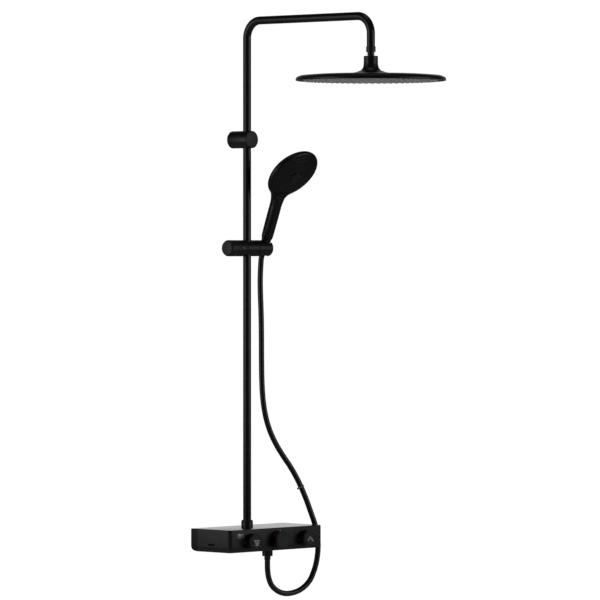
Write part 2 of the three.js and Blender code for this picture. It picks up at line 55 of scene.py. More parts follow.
# ------------------------------------------------------------------ camera, light and floor
scene = bpy.context.scene
cam_data = bpy.data.cameras.new("camera")
cam = bpy.data.objects.new("camera", cam_data)
scene.collection.objects.link(cam)
cam_data.lens = 282
cam_data.sensor_width = 36
cam_data.clip_end = 200
cam.location = (-7.475, -7.325, 0.6556)
aim = Vector((0.0810, -0.1291, 0.5280))
cam.rotation_mode = "QUATERNION"
cam.rotation_quaternion = (aim - cam.location).to_track_quat("-Z", "Y")
scene.camera = cam
scene.view_settings.view_transform = "Standard"

BACKDROP = 1.02  # how bright the plain background is to the eye
AMBIENT = 0.014
GLOW = 0.62


def node(tree, kind, at=(0, 0), **sockets):
    n = tree.nodes.new(kind)
    n.location = at
    for k, v in sockets.items():
        n.inputs[k.replace("_", " ")].default_value = v
    return n


world = bpy.data.worlds.new("studio")
scene.world = world
world.use_nodes = True
wt = world.node_tree
wt.nodes.clear()
w_out = wt.nodes.new("ShaderNodeOutputWorld")
w_mix = wt.nodes.new("ShaderNodeMixShader")
w_path = wt.nodes.new("ShaderNodeLightPath")
w_seen = node(wt, "ShaderNodeBackground", Color=(1, 1, 1, 1), Strength=BACKDROP)
w_lit = node(wt, "ShaderNodeBackground", Color=(1, 1, 1, 1), Strength=AMBIENT)
w_co = wt.nodes.new("ShaderNodeTexCoord")
w_dot = wt.nodes.new("ShaderNodeVectorMath")
w_dot.operation = "DOT_PRODUCT"
w_dot.inputs[1].default_value = (0.7242, 0.6896, 0.05)
w_ramp = wt.nodes.new("ShaderNodeMapRange")
w_ramp.interpolation_type = "SMOOTHSTEP"
w_ramp.inputs["From Min"].default_value = 0.80
w_ramp.inputs["From Max"].default_value = 0.97
w_ramp.inputs["To Min"].default_value = AMBIENT
w_ramp.inputs["To Max"].default_value = GLOW
wt.links.new(w_co.outputs["Generated"], w_dot.inputs[0])
wt.links.new(w_dot.outputs["Value"], w_ramp.inputs["Value"])
wt.links.new(w_ramp.outputs["Result"], w_lit.inputs["Strength"])
wt.links.new(w_path.outputs["Is Camera Ray"], w_mix.inputs["Fac"])
wt.links.new(w_lit.outputs[0], w_mix.inputs[1])
wt.links.new(w_seen.outputs[0], w_mix.inputs[2])
wt.links.new(w_mix.outputs[0], w_out.inputs["Surface"])


def softbox(name, turn, lift, distance, width, height, power, target=(0.02, -0.12, 0.52)):
    """An area light, turn degrees to the right of the camera's line as seen from the object."""
    toward = Vector((-0.7242, -0.6896, 0))
    right = Vector((0.6896, -0.7242, 0))
    a, e = math.radians(turn), math.radians(lift)
    d = (toward * math.cos(a) + right * math.sin(a)) * math.cos(e) + Vector((0, 0, math.sin(e)))
    data = bpy.data.lights.new(name, "AREA")
    data.shape = "RECTANGLE"
    data.size, data.size_y = width, height
    data.energy = power
    o = bpy.data.objects.new(name, data)
    scene.collection.objects.link(o)
    o.location = Vector(target) + d * distance
    o.rotation_mode = "QUATERNION"
    o.rotation_quaternion = (Vector(target) - o.location).to_track_quat("-Z", "Y")
    o.visible_camera = False
    return o


softbox("key_left", -66, 6, 3.0, 2.4, 2.2, 20)
softbox("key_right", 72, 6, 3.0, 2.4, 1.8, 15.5)
softbox("top", 10, 78, 3.0, 1.6, 1.6, 4)


# ------------------------------------------------------------------ finishes
def finish(name, color, rough, metal=0.0, spec=0.5, grain=0.0, grain_size=0.4, rough_vary=0.04, tint_vary=0.12,
           coat=0.0, coat_rough=0.1, sheen=0.0, brushed=None, ribs=None, sub=0.0):
    """A procedural finish: base colour with slow variation, roughness that drifts, and a fine moulded or sprayed grain."""
    m = bpy.data.materials.new(name)
    m.use_nodes = True
    t = m.node_tree
    b = t.nodes["Principled BSDF"]
    b.inputs["Metallic"].default_value = metal
    b.inputs["Specular IOR Level"].default_value = spec
    b.inputs["Coat Weight"].default_value = coat
    b.inputs["Coat Roughness"].default_value = coat_rough
    b.inputs["Sheen Weight"].default_value = sheen
    if sub:
        b.inputs["Subsurface Weight"].default_value = sub
        b.inputs["Subsurface Radius"].default_value = (0.002, 0.002, 0.002)
    co = t.nodes.new("ShaderNodeTexCoord")
    slow = node(t, "ShaderNodeTexNoise", Scale=38.0, Detail=3.0, Roughness=0.55)
    t.links.new(co.outputs["Object"], slow.inputs["Vector"])
    ramp = t.nodes.new("ShaderNodeMixRGB")
    lo = [c * (1 - tint_vary) for c in color]
    hi = [min(1, c * (1 + tint_vary)) for c in color]
    ramp.inputs["Color1"].default_value = (*lo, 1)
    ramp.inputs["Color2"].default_value = (*hi, 1)
    t.links.new(slow.outputs["Fac"], ramp.inputs["Fac"])
    t.links.new(ramp.outputs["Color"], b.inputs["Base Color"])
    rr = t.nodes.new("ShaderNodeMapRange")
    rr.inputs["From Min"].default_value = 0.3
    rr.inputs["From Max"].default_value = 0.7
    rr.inputs["To Min"].default_value = max(0.02, rough - rough_vary)
    rr.inputs["To Max"].default_value = min(1.0, rough + rough_vary)
    smear = node(t, "ShaderNodeTexNoise", Scale=90.0, Detail=4.0, Roughness=0.6)
    t.links.new(co.outputs["Object"], smear.inputs["Vector"])
    t.links.new(smear.outputs["Fac"], rr.inputs["Value"])
    t.links.new(rr.outputs["Result"], b.inputs["Roughness"])
    last = None
    if grain:
        fine = node(t, "ShaderNodeTexNoise", Scale=1000.0 / grain_size, Detail=2.0, Roughness=0.5)
        t.links.new(co.outputs["Object"], fine.inputs["Vector"])
        bump = node(t, "ShaderNodeBump", Strength=grain, Distance=0.00006)
        t.links.new(fine.outputs["Fac"], bump.inputs["Height"])
        last = bump
    if brushed:
        sx, sy, sz = brushed
        mp = t.nodes.new("ShaderNodeMapping")
        mp.inputs["Scale"].default_value = (sx, sy, sz)
        lines = node(t, "ShaderNodeTexNoise", Scale=1.0, Detail=2.0, Roughness=0.5)
        t.links.new(co.outputs["Object"], mp.inputs["Vector"])
        t.links.new(mp.outputs["Vector"], lines.inputs["Vector"])
        bump = node(t, "ShaderNodeBump", Strength=0.25, Distance=0.00005)
        t.links.new(lines.outputs["Fac"], bump.inputs["Height"])
        if last:
            t.links.new(last.outputs["Normal"], bump.inputs["Normal"])
        last = bump
    if ribs:
        at = t.nodes.new("ShaderNodeAttribute")
        at.attribute_name = "run"
        mul = t.nodes.new("ShaderNodeMath")
        mul.operation = "MULTIPLY"
        mul.inputs[1].default_value = ribs
        sine = t.nodes.new("ShaderNodeMath")
        sine.operation = "SINE"
        bump = node(t, "ShaderNodeBump", Strength=0.35, Distance=0.00012)
        t.links.new(at.outputs["Fac"], mul.inputs[0])
        t.links.new(mul.outputs[0], sine.inputs[0])
        t.links.new(sine.outputs[0], bump.inputs["Height"])
        if last:
            t.links.new(last.outputs["Normal"], bump.inputs["Normal"])
        last = bump
    if last:
        t.links.new(last.outputs["Normal"], b.inputs["Normal"])
    return m


M = {
    "metal": finish("sprayed_black_metal", (0.0145, 0.0145, 0.0155), 0.36, spec=0.5, grain=0.35, grain_size=0.35),
    "casing": finish("moulded_black_casing", (0.0185, 0.0185, 0.019), 0.44, spec=0.5, grain=0.55, grain_size=0.3),
    "cover": finish("moulded_black_cover", (0.0075, 0.0075, 0.008), 0.5, spec=0.36, grain=0.6, grain_size=0.35),
    "hand": finish("satin_black_shell", (0.008, 0.008, 0.0085), 0.34, spec=0.5, grain=0.25, grain_size=0.25),
    "face": finish("satin_black_face_finish", (0.006, 0.006, 0.0065), 0.42, spec=0.45, grain=0.3, grain_size=0.3),
    "shelf": finish("gloss_black_plate", (0.004, 0.004, 0.0045), 0.07, spec=0.5, rough_vary=0.02),
    "hose": finish("hose_jacket", (0.010, 0.010, 0.0108), 0.33, spec=0.5, coat=0.25, coat_rough=0.18, ribs=2 * math.pi / 0.0021),
    "silicone": finish("grey_silicone_nubs", (0.88, 0.885, 0.89), 0.55, spec=0.4, grain=0.2, sub=0.15),
    "rubber": finish("black_silicone", (0.014, 0.014, 0.014), 0.62, spec=0.35, grain=0.3),
    "brass": finish("turned_brass", (0.62, 0.42, 0.17), 0.3, metal=1.0, brushed=(60, 2600, 60)),
    "steel": finish("turned_steel", (0.52, 0.52, 0.53), 0.32, metal=1.0, brushed=(60, 2600, 60)),
    "white": finish("white_acetal_resin", (0.72, 0.72, 0.70), 0.42, spec=0.5, grain=0.15, sub=0.1),
    "tie": finish("pale_nylon_tie", (0.30, 0.30, 0.305), 0.45, spec=0.5, grain=0.2, sub=0.1),
    "red": finish("dark_red_plastic", (0.085, 0.003, 0.007), 0.26, spec=0.5, coat=0.3),
    # knob is a darker, less shiny copy of the satin black, painted shade on the knob sides; knob_face is a lighter copy
    # of it, painted light on the bezels and front faces
    "knob": finish("satin_black_knob_painted_shade", (0.003, 0.003, 0.0034), 0.46, spec=0.16, grain=0.3, grain_size=0.3),
    "knob_face": finish("knob_face_painted_light", (0.027, 0.0272, 0.0272), 0.5, spec=0.5, grain=0.4, grain_size=0.3),
    "disc": finish("sprayed_black_disc", (0.0215, 0.0215, 0.022), 0.45, spec=0.5, grain=0.4, grain_size=0.35),
    "pipe": finish("sprayed_black_pipe", (0.011, 0.011, 0.012), 0.3, spec=0.5, grain=0.25, grain_size=0.35),
    "head": finish("satin_black_head", (0.011, 0.011, 0.0115), 0.4, spec=0.45, grain=0.35, grain_size=0.35),
    "spray_plate": finish("satin_grey_spray_plate", (0.11, 0.11, 0.112), 0.5, spec=0.5, grain=0.3, grain_size=0.35),
    "gloss_button": finish("semi_gloss_button", (0.007, 0.007, 0.0075), 0.2, spec=0.5, grain=0.1),
    "badge": finish("brushed_grey_badge", (0.34, 0.34, 0.345), 0.38, metal=0.5, grain=0.2),
    "ink": finish("pale_grey_ink", (0.66, 0.665, 0.67), 0.5, spec=0.3, grain=0.2),
}


# ------------------------------------------------------------------ mesh tools (all in millimetres until add())
def box(name):
    lo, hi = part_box(name)
    return np.array(lo) / MM, np.array(hi) / MM


def mid(name):
    lo, hi = box(name)
    return (lo + hi) / 2


def add(name, verts, faces, mat, body=None, replaces=(), slot=None, sharp=31, blend=None, scale=MM, attrs=None):
    me = bpy.data.meshes.new(name)
    me.from_pydata((np.asarray(verts, float) * scale).tolist(), [], [tuple(int(i) for i in f) for f in faces])
    me.update()
    bm = bmesh.new()
    bm.from_mesh(me)
    bmesh.ops.remove_doubles(bm, verts=bm.verts, dist=1e-7)
    bmesh.ops.dissolve_degenerate(bm, edges=bm.edges, dist=1e-7)
    if bm.calc_volume(signed=True) < 0:
        bmesh.ops.reverse_faces(bm, faces=bm.faces)
    bm.to_mesh(me)
    bm.free()
    me.shade_smooth()
    me.set_sharp_from_angle(angle=math.radians(sharp))
    me.materials.append(M[mat] if isinstance(mat, str) else mat)
    o = bpy.data.objects.new(name, me)
    scene.collection.objects.link(o)
    if attrs is not None:
        a = me.attributes.new("run", "FLOAT", "POINT")
        a.data.foreach_set("value", np.array([attrs(v.co) for v in me.vertices], np.float32))
    if blend:
        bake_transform(o)
    else:
        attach(o, body)
    if replaces:
        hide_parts(*([replaces] if isinstance(replaces, str) else replaces))
    return o


def rounded(points, closed=False, n=5):
    """Profile points (r, h, radius): each corner with a radius becomes an arc."""
    out, count = [], len(points)
    for i, p in enumerate(points):
        rad = p[2] if len(p) > 2 else 0
        if rad <= 0 or (not closed and i in (0, count - 1)):
            out.append((p[0], p[1]))
            continue
        P, A, B = (np.array(q[:2], float) for q in (p, points[i - 1], points[(i + 1) % count]))
        a, b = A - P, B - P
        la, lb = np.linalg.norm(a), np.linalg.norm(b)
        a, b = a / la, b / lb
        ang = math.acos(max(-1, min(1, float(a @ b))))
        if ang > math.pi - 1e-3:
            out.append((p[0], p[1]))
            continue
        t = min(rad / math.tan(ang / 2), la * 0.49, lb * 0.49)
        rad = t * math.tan(ang / 2)
        bis = (a + b) / np.linalg.norm(a + b)
        c = P + bis * (rad / math.sin(ang / 2))
        s, e = P + a * t - c, P + b * t - c
        a0, a1 = math.atan2(s[1], s[0]), math.atan2(e[1], e[0])
        d = (a1 - a0 + math.pi) % (2 * math.pi) - math.pi
        for k in range(n + 1):
            th = a0 + d * k / n
            out.append((c[0] + rad * math.cos(th), c[1] + rad * math.sin(th)))
    return out


def turn(profile, segs=96, closed=False, wave=None):
    """Revolves (r, h) about Z. wave(theta, r, h) may change the radius."""
    verts, faces, rows = [], [], []
    for r, h in profile:
        if r < 1e-6:
            rows.append([len(verts)])
            verts.append((0, 0, h))
        else:
            row = []
            for i in range(segs):
                th = 2 * math.pi * i / segs
                q = wave(th, r, h) if wave else r
                row.append(len(verts))
                verts.append((q * math.cos(th), q * math.sin(th), h))
            rows.append(row)
    pairs = list(zip(rows, rows[1:] + rows[:1])) if closed else list(zip(rows, rows[1:]))
    for a, b in pairs:
        for i in range(segs):
            j = (i + 1) % segs
            if len(a) == 1 and len(b) == 1:
                continue
            if len(a) == 1:
                faces.append((a[0], b[j], b[i]))
            elif len(b) == 1:
                faces.append((a[i], a[j], b[0]))
            else:
                faces.append((a[i], a[j], b[j], b[i]))
    return np.array(verts), faces


TURN = {
    "z": np.eye(3),
    "y": np.array([[1, 0, 0], [0, 0, 1], [0, -1, 0]], float),
    "x": np.array([[0, 0, 1], [0, 1, 0], [-1, 0, 0]], float),
}


def put(vf, axis="z", at=(0, 0, 0)):
    v, f = vf
    R = TURN[axis] if isinstance(axis, str) else np.asarray(axis, float)
    return np.asarray(v) @ R.T + np.array(at, float), f


def join(*parts):
    verts, faces, n = [], [], 0
    for v, f in parts:
        verts.append(np.asarray(v))
        faces += [tuple(i + n for i in q) for q in f]
        n += len(v)
    return np.vstack(verts), faces


def frames(pts):
    pts = np.asarray(pts, float)
    d = np.diff(pts, axis=0)
    d /= np.linalg.norm(d, axis=1)[:, None]
    t = np.vstack([d[:1], d[:-1] + d[1:], d[-1:]])
    t /= np.linalg.norm(t, axis=1)[:, None]
    n = np.array([1.0, 0, 0])
    if abs(n @ t[0]) > 0.9:
        n = np.array([0, 1.0, 0])
    N = []
    for k in t:
        n = n - (n @ k) * k
        n /= np.linalg.norm(n)
        N.append(n)
    N = np.array(N)
    return t, N, np.cross(t, N)


def tube(pts, r, inner=0.0, segs=28, ends=None):
    """A round tube along points; ends is not used."""
    pts = np.asarray(pts, float)
    t, N, B = frames(pts)
    verts, faces = [], []
    k = len(pts)

    def skin(rad, flip):
        base = len(verts)
        for i in range(k):
            for s in range(segs):
                a = 2 * math.pi * s / segs
                verts.append(pts[i] + rad * (math.cos(a) * N[i] + math.sin(a) * B[i]))
        for i in range(k - 1):
            for s in range(segs):
                u = (s + 1) % segs
                q = (base + i * segs + s, base + i * segs + u, base + (i + 1) * segs + u, base + (i + 1) * segs + s)
                faces.append(q[::-1] if flip else q)
        return base

    a = skin(r, False)
    if inner:
        b = skin(inner, True)
        for end, flip in ((0, True), (k - 1, False)):
            for s in range(segs):
                u = (s + 1) % segs
                q = (a + end * segs + s, a + end * segs + u, b + end * segs + u, b + end * segs + s)
                faces.append(q[::-1] if flip else q)
    else:
        for end, flip in ((0, True), (k - 1, False)):
            c = len(verts)
            verts.append(pts[end])
            for s in range(segs):
                u = (s + 1) % segs
                q = (a + end * segs + s, a + end * segs + u, c)
                faces.append(q[::-1] if flip else q)
    return np.array(verts), faces


def spline(points, step=4.0):
    """A smooth curve through the points (centripetal Catmull-Rom), sampled at an even step."""
    P = np.asarray(points, float)
    P = np.vstack([2 * P[0] - P[1], P, 2 * P[-1] - P[-2]])
    out = []
    for i in range(1, len(P) - 2):
        p0, p1, p2, p3 = P[i - 1:i + 3]
        t0 = 0.0
        t1 = t0 + np.linalg.norm(p1 - p0) ** 0.5
        t2 = t1 + np.linalg.norm(p2 - p1) ** 0.5
        t3 = t2 + np.linalg.norm(p3 - p2) ** 0.5
        for t in np.linspace(t1, t2, 24, endpoint=False):
            a1 = (t1 - t) / (t1 - t0) * p0 + (t - t0) / (t1 - t0) * p1
            a2 = (t2 - t) / (t2 - t1) * p1 + (t - t1) / (t2 - t1) * p2
            a3 = (t3 - t) / (t3 - t2) * p2 + (t - t2) / (t3 - t2) * p3
            b1 = (t2 - t) / (t2 - t0) * a1 + (t - t0) / (t2 - t0) * a2
            b2 = (t3 - t) / (t3 - t1) * a2 + (t - t1) / (t3 - t1) * a3
            out.append((t2 - t) / (t2 - t1) * b1 + (t - t1) / (t2 - t1) * b2)
    out.append(P[-2])
    return resample(np.array(out), step)


def resample(C, step):
    s = np.concatenate([[0], np.cumsum(np.linalg.norm(np.diff(C, axis=0), axis=1))])
    n = max(2, int(round(s[-1] / step)) + 1)
    u = np.linspace(0, s[-1], n)
    return np.stack([np.interp(u, s, C[:, k]) for k in range(3)], 1)


def run_length(C):
    return float(np.linalg.norm(np.diff(C, axis=0), axis=1).sum())


# smooth set operations on distances
def smin(a, b, k):
    h = np.clip(0.5 + 0.5 * (b - a) / k, 0, 1)
    return b * (1 - h) + a * h - k * h * (1 - h)


def smax(a, b, k):
    return -smin(-a, -b, k)


def net(f, lo, hi, h, project=4):
    """The surface f(points) = 0 as quads: one point in each crossed cell, then pulled onto the surface."""
    lo, hi = np.array(lo, float), np.array(hi, float)
    n = np.ceil((hi - lo) / h).astype(int) + 1
    ax = [lo[k] + h * np.arange(n[k]) for k in range(3)]
    F = np.empty(n)
    gy, gz = np.meshgrid(ax[1], ax[2], indexing="ij")
    for i, x in enumerate(ax[0]):
        F[i] = f(np.stack([np.full(gy.size, x), gy.ravel(), gz.ravel()], 1)).reshape(gy.shape)
    S = F < 0
    c = np.zeros(tuple(n - 1), int)
    for dx in (0, 1):
        for dy in (0, 1):
            for dz in (0, 1):
                c += S[dx:n[0] - 1 + dx, dy:n[1] - 1 + dy, dz:n[2] - 1 + dz]
    cross = (c > 0) & (c < 8)
    ids = -np.ones(cross.shape, int)
    cells = np.argwhere(cross)
    ids[tuple(cells.T)] = np.arange(len(cells))
    acc = np.zeros((len(cells), 3))
    cnt = np.zeros(len(cells))
    for d in range(3):
        o1, o2 = [k for k in range(3) if k != d]
        for a in (0, 1):
            for b in (0, 1):
                off = np.zeros(3, int)
                off[o1], off[o2] = a, b
                p = cells + off
                q = p.copy()
                q[:, d] += 1
                fp, fq = F[tuple(p.T)], F[tuple(q.T)]
                hit = (fp < 0) != (fq < 0)
                t = np.where(hit, fp / np.where(hit, fp - fq, 1), 0)
                w = p.astype(float)
                w[:, d] += t
                acc[hit] += w[hit]
                cnt[hit] += 1
    V = lo + h * acc / cnt[:, None]
    faces = []
    for d in range(3):
        o1, o2 = (d + 1) % 3, (d + 2) % 3
        sl = [slice(None)] * 3
        sl[d] = slice(0, n[d] - 1)
        sr = [slice(None)] * 3
        sr[d] = slice(1, n[d])
        change = S[tuple(sl)] != S[tuple(sr)]
        e = np.argwhere(change)
        e = e[(e[:, o1] > 0) & (e[:, o2] > 0) & (e[:, o1] < n[o1] - 1) & (e[:, o2] < n[o2] - 1)]
        inside_first = S[tuple(e.T)]
        quads = []
        for a, b in ((-1, -1), (0, -1), (0, 0), (-1, 0)):
            p = e.copy()
            p[:, o1] += a
            p[:, o2] += b
            quads.append(ids[tuple(p.T)])
        Q = np.stack(quads, 1)
        Q[~inside_first] = Q[~inside_first][:, ::-1]
        faces.append(Q)
    faces = np.vstack(faces)
    eps = h * 0.05
    for _ in range(project):
        v = f(V)
        g = np.stack([(f(V + eps * np.eye(3)[k]) - f(V - eps * np.eye(3)[k])) / (2 * eps) for k in range(3)], 1)
        g2 = np.maximum((g * g).sum(1), 0.05)
        V = V - np.clip(v / g2, -h * 0.5, h * 0.5)[:, None] * g
    return V, [tuple(q) for q in faces]


def bevel(o, width, segments=2, angle=34):
    m = o.modifiers.new("soft_edges", "BEVEL")
    m.width = width * MM
    m.segments = segments
    m.limit_method = "ANGLE"
    m.angle_limit = math.radians(angle)
    m.harden_normals = False
    m.miter_outer = "MITER_ARC"
    return o


def cut(vf, *cutters, name="work"):
    """Boolean subtraction, done once; gives plain vertices and faces back."""
    def temp(data, label):
        me = bpy.data.meshes.new(label)
        me.from_pydata((np.asarray(data[0]) * MM * 10).tolist(), [], [tuple(int(i) for i in f) for f in data[1]])
        bm = bmesh.new()
        bm.from_mesh(me)
        bmesh.ops.remove_doubles(bm, verts=bm.verts, dist=1e-6)
        if bm.calc_volume(signed=True) < 0:
            bmesh.ops.reverse_faces(bm, faces=bm.faces)
        bm.to_mesh(me)
        bm.free()
        o = bpy.data.objects.new(label, me)
        scene.collection.objects.link(o)
        return o
    base = temp(vf, name)
    tools = []
    for i, c in enumerate(cutters):
        t = temp(c, name + "_tool")
        tools.append(t)
        m = base.modifiers.new("cut", "BOOLEAN")
        m.operation = "DIFFERENCE"
        m.solver = "EXACT"
        m.object = t
    dg = bpy.context.evaluated_depsgraph_get()
    ev = base.evaluated_get(dg).to_mesh()
    verts = np.array([v.co[:] for v in ev.vertices]) / (MM * 10)
    faces = [tuple(p.vertices) for p in ev.polygons]
    base.evaluated_get(dg).to_mesh_clear()
    for o in [base] + tools:
        me = o.data
        bpy.data.objects.remove(o)
        bpy.data.meshes.remove(me)
    return verts, faces


def lathe(name, profile, node_name, mat, body, axis="z", segs=96, replaces=True, slot=None, wave=None, at=None, bores=(), sharp=31):
    """A turned piece about the axis of a CAD node's box."""
    c = mid(node_name) if at is None else np.array(at, float)
    k = "xyz".index(axis)
    c = c.copy()
    c[k] = 0
    prof = rounded(profile, closed=profile[0][0] > 0)
    vf = put(turn(prof, segs, closed=profile[0][0] > 0, wave=wave), axis, c)
    if bores:
        vf = cut(vf, *bores)
    return add(name, *vf, mat, body, replaces=(node_name,) if replaces else (), slot=slot, sharp=sharp)


def knurl(count, depth, lo, hi, outer):
    """Straight ribs between two heights on the outer skin of a turned piece."""
    def w(th, r, h):
        if lo <= h <= hi and r > outer - 0.6:
            return r - depth * (0.5 - 0.5 * math.cos(count * th))
        return r
    return w


def hexed(apothem, lo, hi):
    def w(th, r, h):
        if lo <= h <= hi:
            a = (th + math.pi / 6) % (math.pi / 3) - math.pi / 6
            return min(r, apothem / math.cos(a))
        return r
    return w


def cyl(r, lo, hi, axis, at, segs=64):
    return put(turn([(0, lo), (r, lo), (r, hi), (0, hi)], segs), axis, at)


def tri_fan_prism(outline, z0, z1, inner_scale=None):
    """A flat prism with a soft top edge from a 2D outline."""
    n = len(outline)
    o = np.array(outline, float)
    c = o.mean(0)
    lay = [(1.0, z0), (1.0, z0 + (z1 - z0) * 0.6), (0.965, z1)]
    verts, faces = [], []
    for s, z in lay:
        for p in o:
            q = c + (p - c) * s
            verts.append((q[0], q[1], z))
    for k in range(len(lay) - 1):
        for i in range(n):
            j = (i + 1) % n
            faces.append((k * n + i, k * n + j, (k + 1) * n + j, (k + 1) * n + i))
    faces.append(tuple(range(n))[::-1])
    faces.append(tuple((len(lay) - 1) * n + i for i in range(n)))
    return np.array(verts), faces


# ------------------------------------------------------------------ the hose first: one hose in three lengths
HOSE_R = 6.2
LEAN = math.radians(20.67)
U = np.array([0, -math.sin(LEAN), math.cos(LEAN)])
LOWER = [[38, -70, -50.4], [38, -70, -64], [39, -70.2, -78], [42.2, -71, -93], [49, -72.5, -107], [60, -75, -117.5], [73, -78, -124.2],
         [87, -81.3, -127], [103, -84.9, -126], [120, -88.9, -121.3], [136, -92.6, -112], [149, -95.7, -98.5], [158.5, -97.8, -80.5],
         [165, -99.3, -61], [168.8, -100.2, -39], [169.8, -100.2, -16], [167.5, -99.2, 8], [161, -96, 32], [153.8, -92.2, 54],
         [145.8, -87.6, 79], [136, -82, 105.5], [125, -75.8, 131], [112, -68.5, 156], [98.4, -60.9, 178.5], [86.5, -54.2, 200],
         [75.5, -48, 224], [67, -43.4, 249], [60.8, -40, 277], [57, -37.8, 307], [54.9, -36.6, 345], [54.1, -36.2, 392], [54, -36, 440],
         [54, -35.6, 475]]
MIDDLE = [[54, -35.6, 475.0], [54, -35, 496], [54, -34, 518], [54, -32.9, 540], [54, -32.5, 553]]
END = np.array([54, -44, 643.0])
UPPER = [[54, -32.5, 553.0], [54, -32.3, 571], [54, -32.9, 590], [54, -34.3, 609], list(END - 23 * U), list(END - 14.2 * U)]
whole = spline(LOWER + MIDDLE[1:] + UPPER[1:], 3.0)
CUT_A, CUT_B = 475.1, 553.1
ia = max(i for i in range(len(whole)) if whole[i, 2] < CUT_A and i > 200)
ib = max(i for i in range(len(whole)) if whole[i, 2] < CUT_B and i > 200)
RUN = np.concatenate([[0], np.cumsum(np.linalg.norm(np.diff(whole, axis=0), axis=1))])


def run_at(co):
    p = np.array(co[:]) / MM
    return RUN[int(np.argmin(((whole - p) ** 2).sum(1)))] * MM


parts = [("hose_lower", whole[:ia + 1], ("root", "slider", (0.054, -0.036, -0.010), (0.054, -0.036, 0.475)), (0.038, -0.070, -0.050)),
         ("hose_middle", whole[ia:ib + 1], ("slider", "holder", (0.054, -0.0355, 0.480), (0.054, -0.0325, 0.548)), (0.054, -0.0356, 0.475)),
         ("hose_upper", whole[ib:], ("holder", "hose_end", (0.054, -0.0323, 0.560), (0.054, -0.036, 0.625)), (0.054, -0.0325, 0.553))]

# the tie that gathers the loop: a slim band with a square head and a trimmed tail
tie_c = mid("hose_tie")
tie_i = int(np.argmin(((whole - np.array([134.8, -81.3, 108.4])) ** 2).sum(1)))
tie_t = whole[tie_i + 1] - whole[tie_i - 1]
tie_t /= np.linalg.norm(tie_t)
tie_x = np.array([1.0, 0, 0]) - tie_t[0] * tie_t
tie_x /= np.linalg.norm(tie_x)
TIE = np.stack([tie_x, np.cross(tie_t, tie_x), tie_t], 1)
band = turn(rounded([(6.35, -1.6, 0.2), (7.3, -1.6, 0.35), (7.3, 1.6, 0.35), (6.35, 1.6, 0.2)], closed=True), 64, closed=True)


def slab(x0, x1, y0, y1, z0, z1, r=0.4):
    xs = [(x0, x0 + r), (x1, x1 - r)]
    verts, faces = [], []
    out = []
    for sx, sy in ((1, 1), (-1, 1), (-1, -1), (1, -1)):
        cx, cy = (x1 - r if sx > 0 else x0 + r), (y1 - r if sy > 0 else y0 + r)
        a0 = {(1, 1): 0, (-1, 1): 90, (-1, -1): 180, (1, -1): 270}[(sx, sy)]
        for k in range(5):
            a = math.radians(a0 + 22.5 * k)
            out.append((cx, cy, math.cos(a), math.sin(a)))
    for z, d in ((z0, 0.0), (z0 + r * 0.3, 0.7), (z0 + r, 1.0), (z1 - r, 1.0), (z1 - r * 0.3, 0.7), (z1, 0.0)):
        for cx, cy, ca, sa in out:
            verts.append((cx + r * d * ca, cy + r * d * sa, z))
    n = len(out)
    for k in range(5):
        for i in range(n):
            j = (i + 1) % n
            faces.append((k * n + i, k * n + j, (k + 1) * n + j, (k + 1) * n + i))
    faces.append(tuple(range(n))[::-1])
    faces.append(tuple(5 * n + i for i in range(n)))
    return np.array(verts), faces


tie_mesh = join(band, slab(-11.8, -7.0, -2.2, 2.2, -1.7, 1.7, 0.5), slab(-14.5, -11.4, -0.6, 0.6, -1.3, 1.3, 0.3))
tie_obj = add("tie_band", *put(tie_mesh, TIE, whole[tie_i]), "tie", replaces="hose_tie", slot="grey_tie", blend=parts[0][2])
for pname, centre, blend, exit_at in parts:
    o = add(pname + "_jacket", *tube(centre, HOSE_R, segs=28), "hose", replaces=pname, slot="hose_black", blend=blend, sharp=40, attrs=run_at)
print("hose", {p[0]: round(run_length(p[1]), 1) for p in parts}, round(RUN[-1], 1))

# ------------------------------------------------------------------ mixer casing and shelf
SH_LO, SH_HI = box("mixer_shell")
RC_LO, RC_HI = box("rear_cover")
# the finished casing stands a little proud of the plain solids: 3 mm wider at each end and 2.8 mm further forward
PX0, PX1, PYF, PYB = SH_LO[0] - 3.0, SH_HI[0] + 3.0, SH_LO[1] - 2.8, RC_HI[1] - 2.9
SEAM_F, SEAM_R = SH_HI[1], RC_LO[1]
PZB, PZT = SH_LO[2], SH_HI[2]


def outline(d, ends, rf, rr, y_cut=None, n=12):
    """Rounded plan outline pulled in by d; ends is 'front', 'rear' or 'both', the cut side staying at y_cut."""
    x0, x1, y0, y1 = PX0 + d, PX1 - d, PYF + d, PYB - d
    if ends == "front":
        y1 = y_cut
    if ends == "rear":
        y0 = y_cut
    f = max(rf - d, 0.5) if ends != "rear" else 0.0
    b = max(rr - d, 0.5) if ends != "front" else 0.0
    pts = []

    def corner(cx, cy, r, a0):
        for i in range(n + 1):
            a = math.radians(a0 + 90 * i / n)
            pts.append((cx + r * math.cos(a), cy + r * math.sin(a)))
    if b:
        corner(x1 - b, y1 - b, b, 0)
        corner(x0 + b, y1 - b, b, 90)
    else:
        pts.extend([(x1, y1), (x0, y1)])
    if f:
        corner(x0 + f, y0 + f, f, 180)
        corner(x1 - f, y0 + f, f, 270)
    else:
        pts.extend([(x0, y0), (x1, y0)])
    return pts


def stack(layers):
    """Closed solid from equal-count outlines (list of (points, z)); ends capped with one face each."""
    n = len(layers[0][0])
    verts = [(p[0], p[1], z) for pts, z in layers for p in pts]
    faces = []
    for k in range(len(layers) - 1):
        for i in range(n):
            j = (i + 1) % n
            faces.append((k * n + i, k * n + j, (k + 1) * n + j, (k + 1) * n + i))
    faces.append(tuple(range(n))[::-1])
    faces.append(tuple((len(layers) - 1) * n + i for i in range(n)))
    return np.array(verts), faces


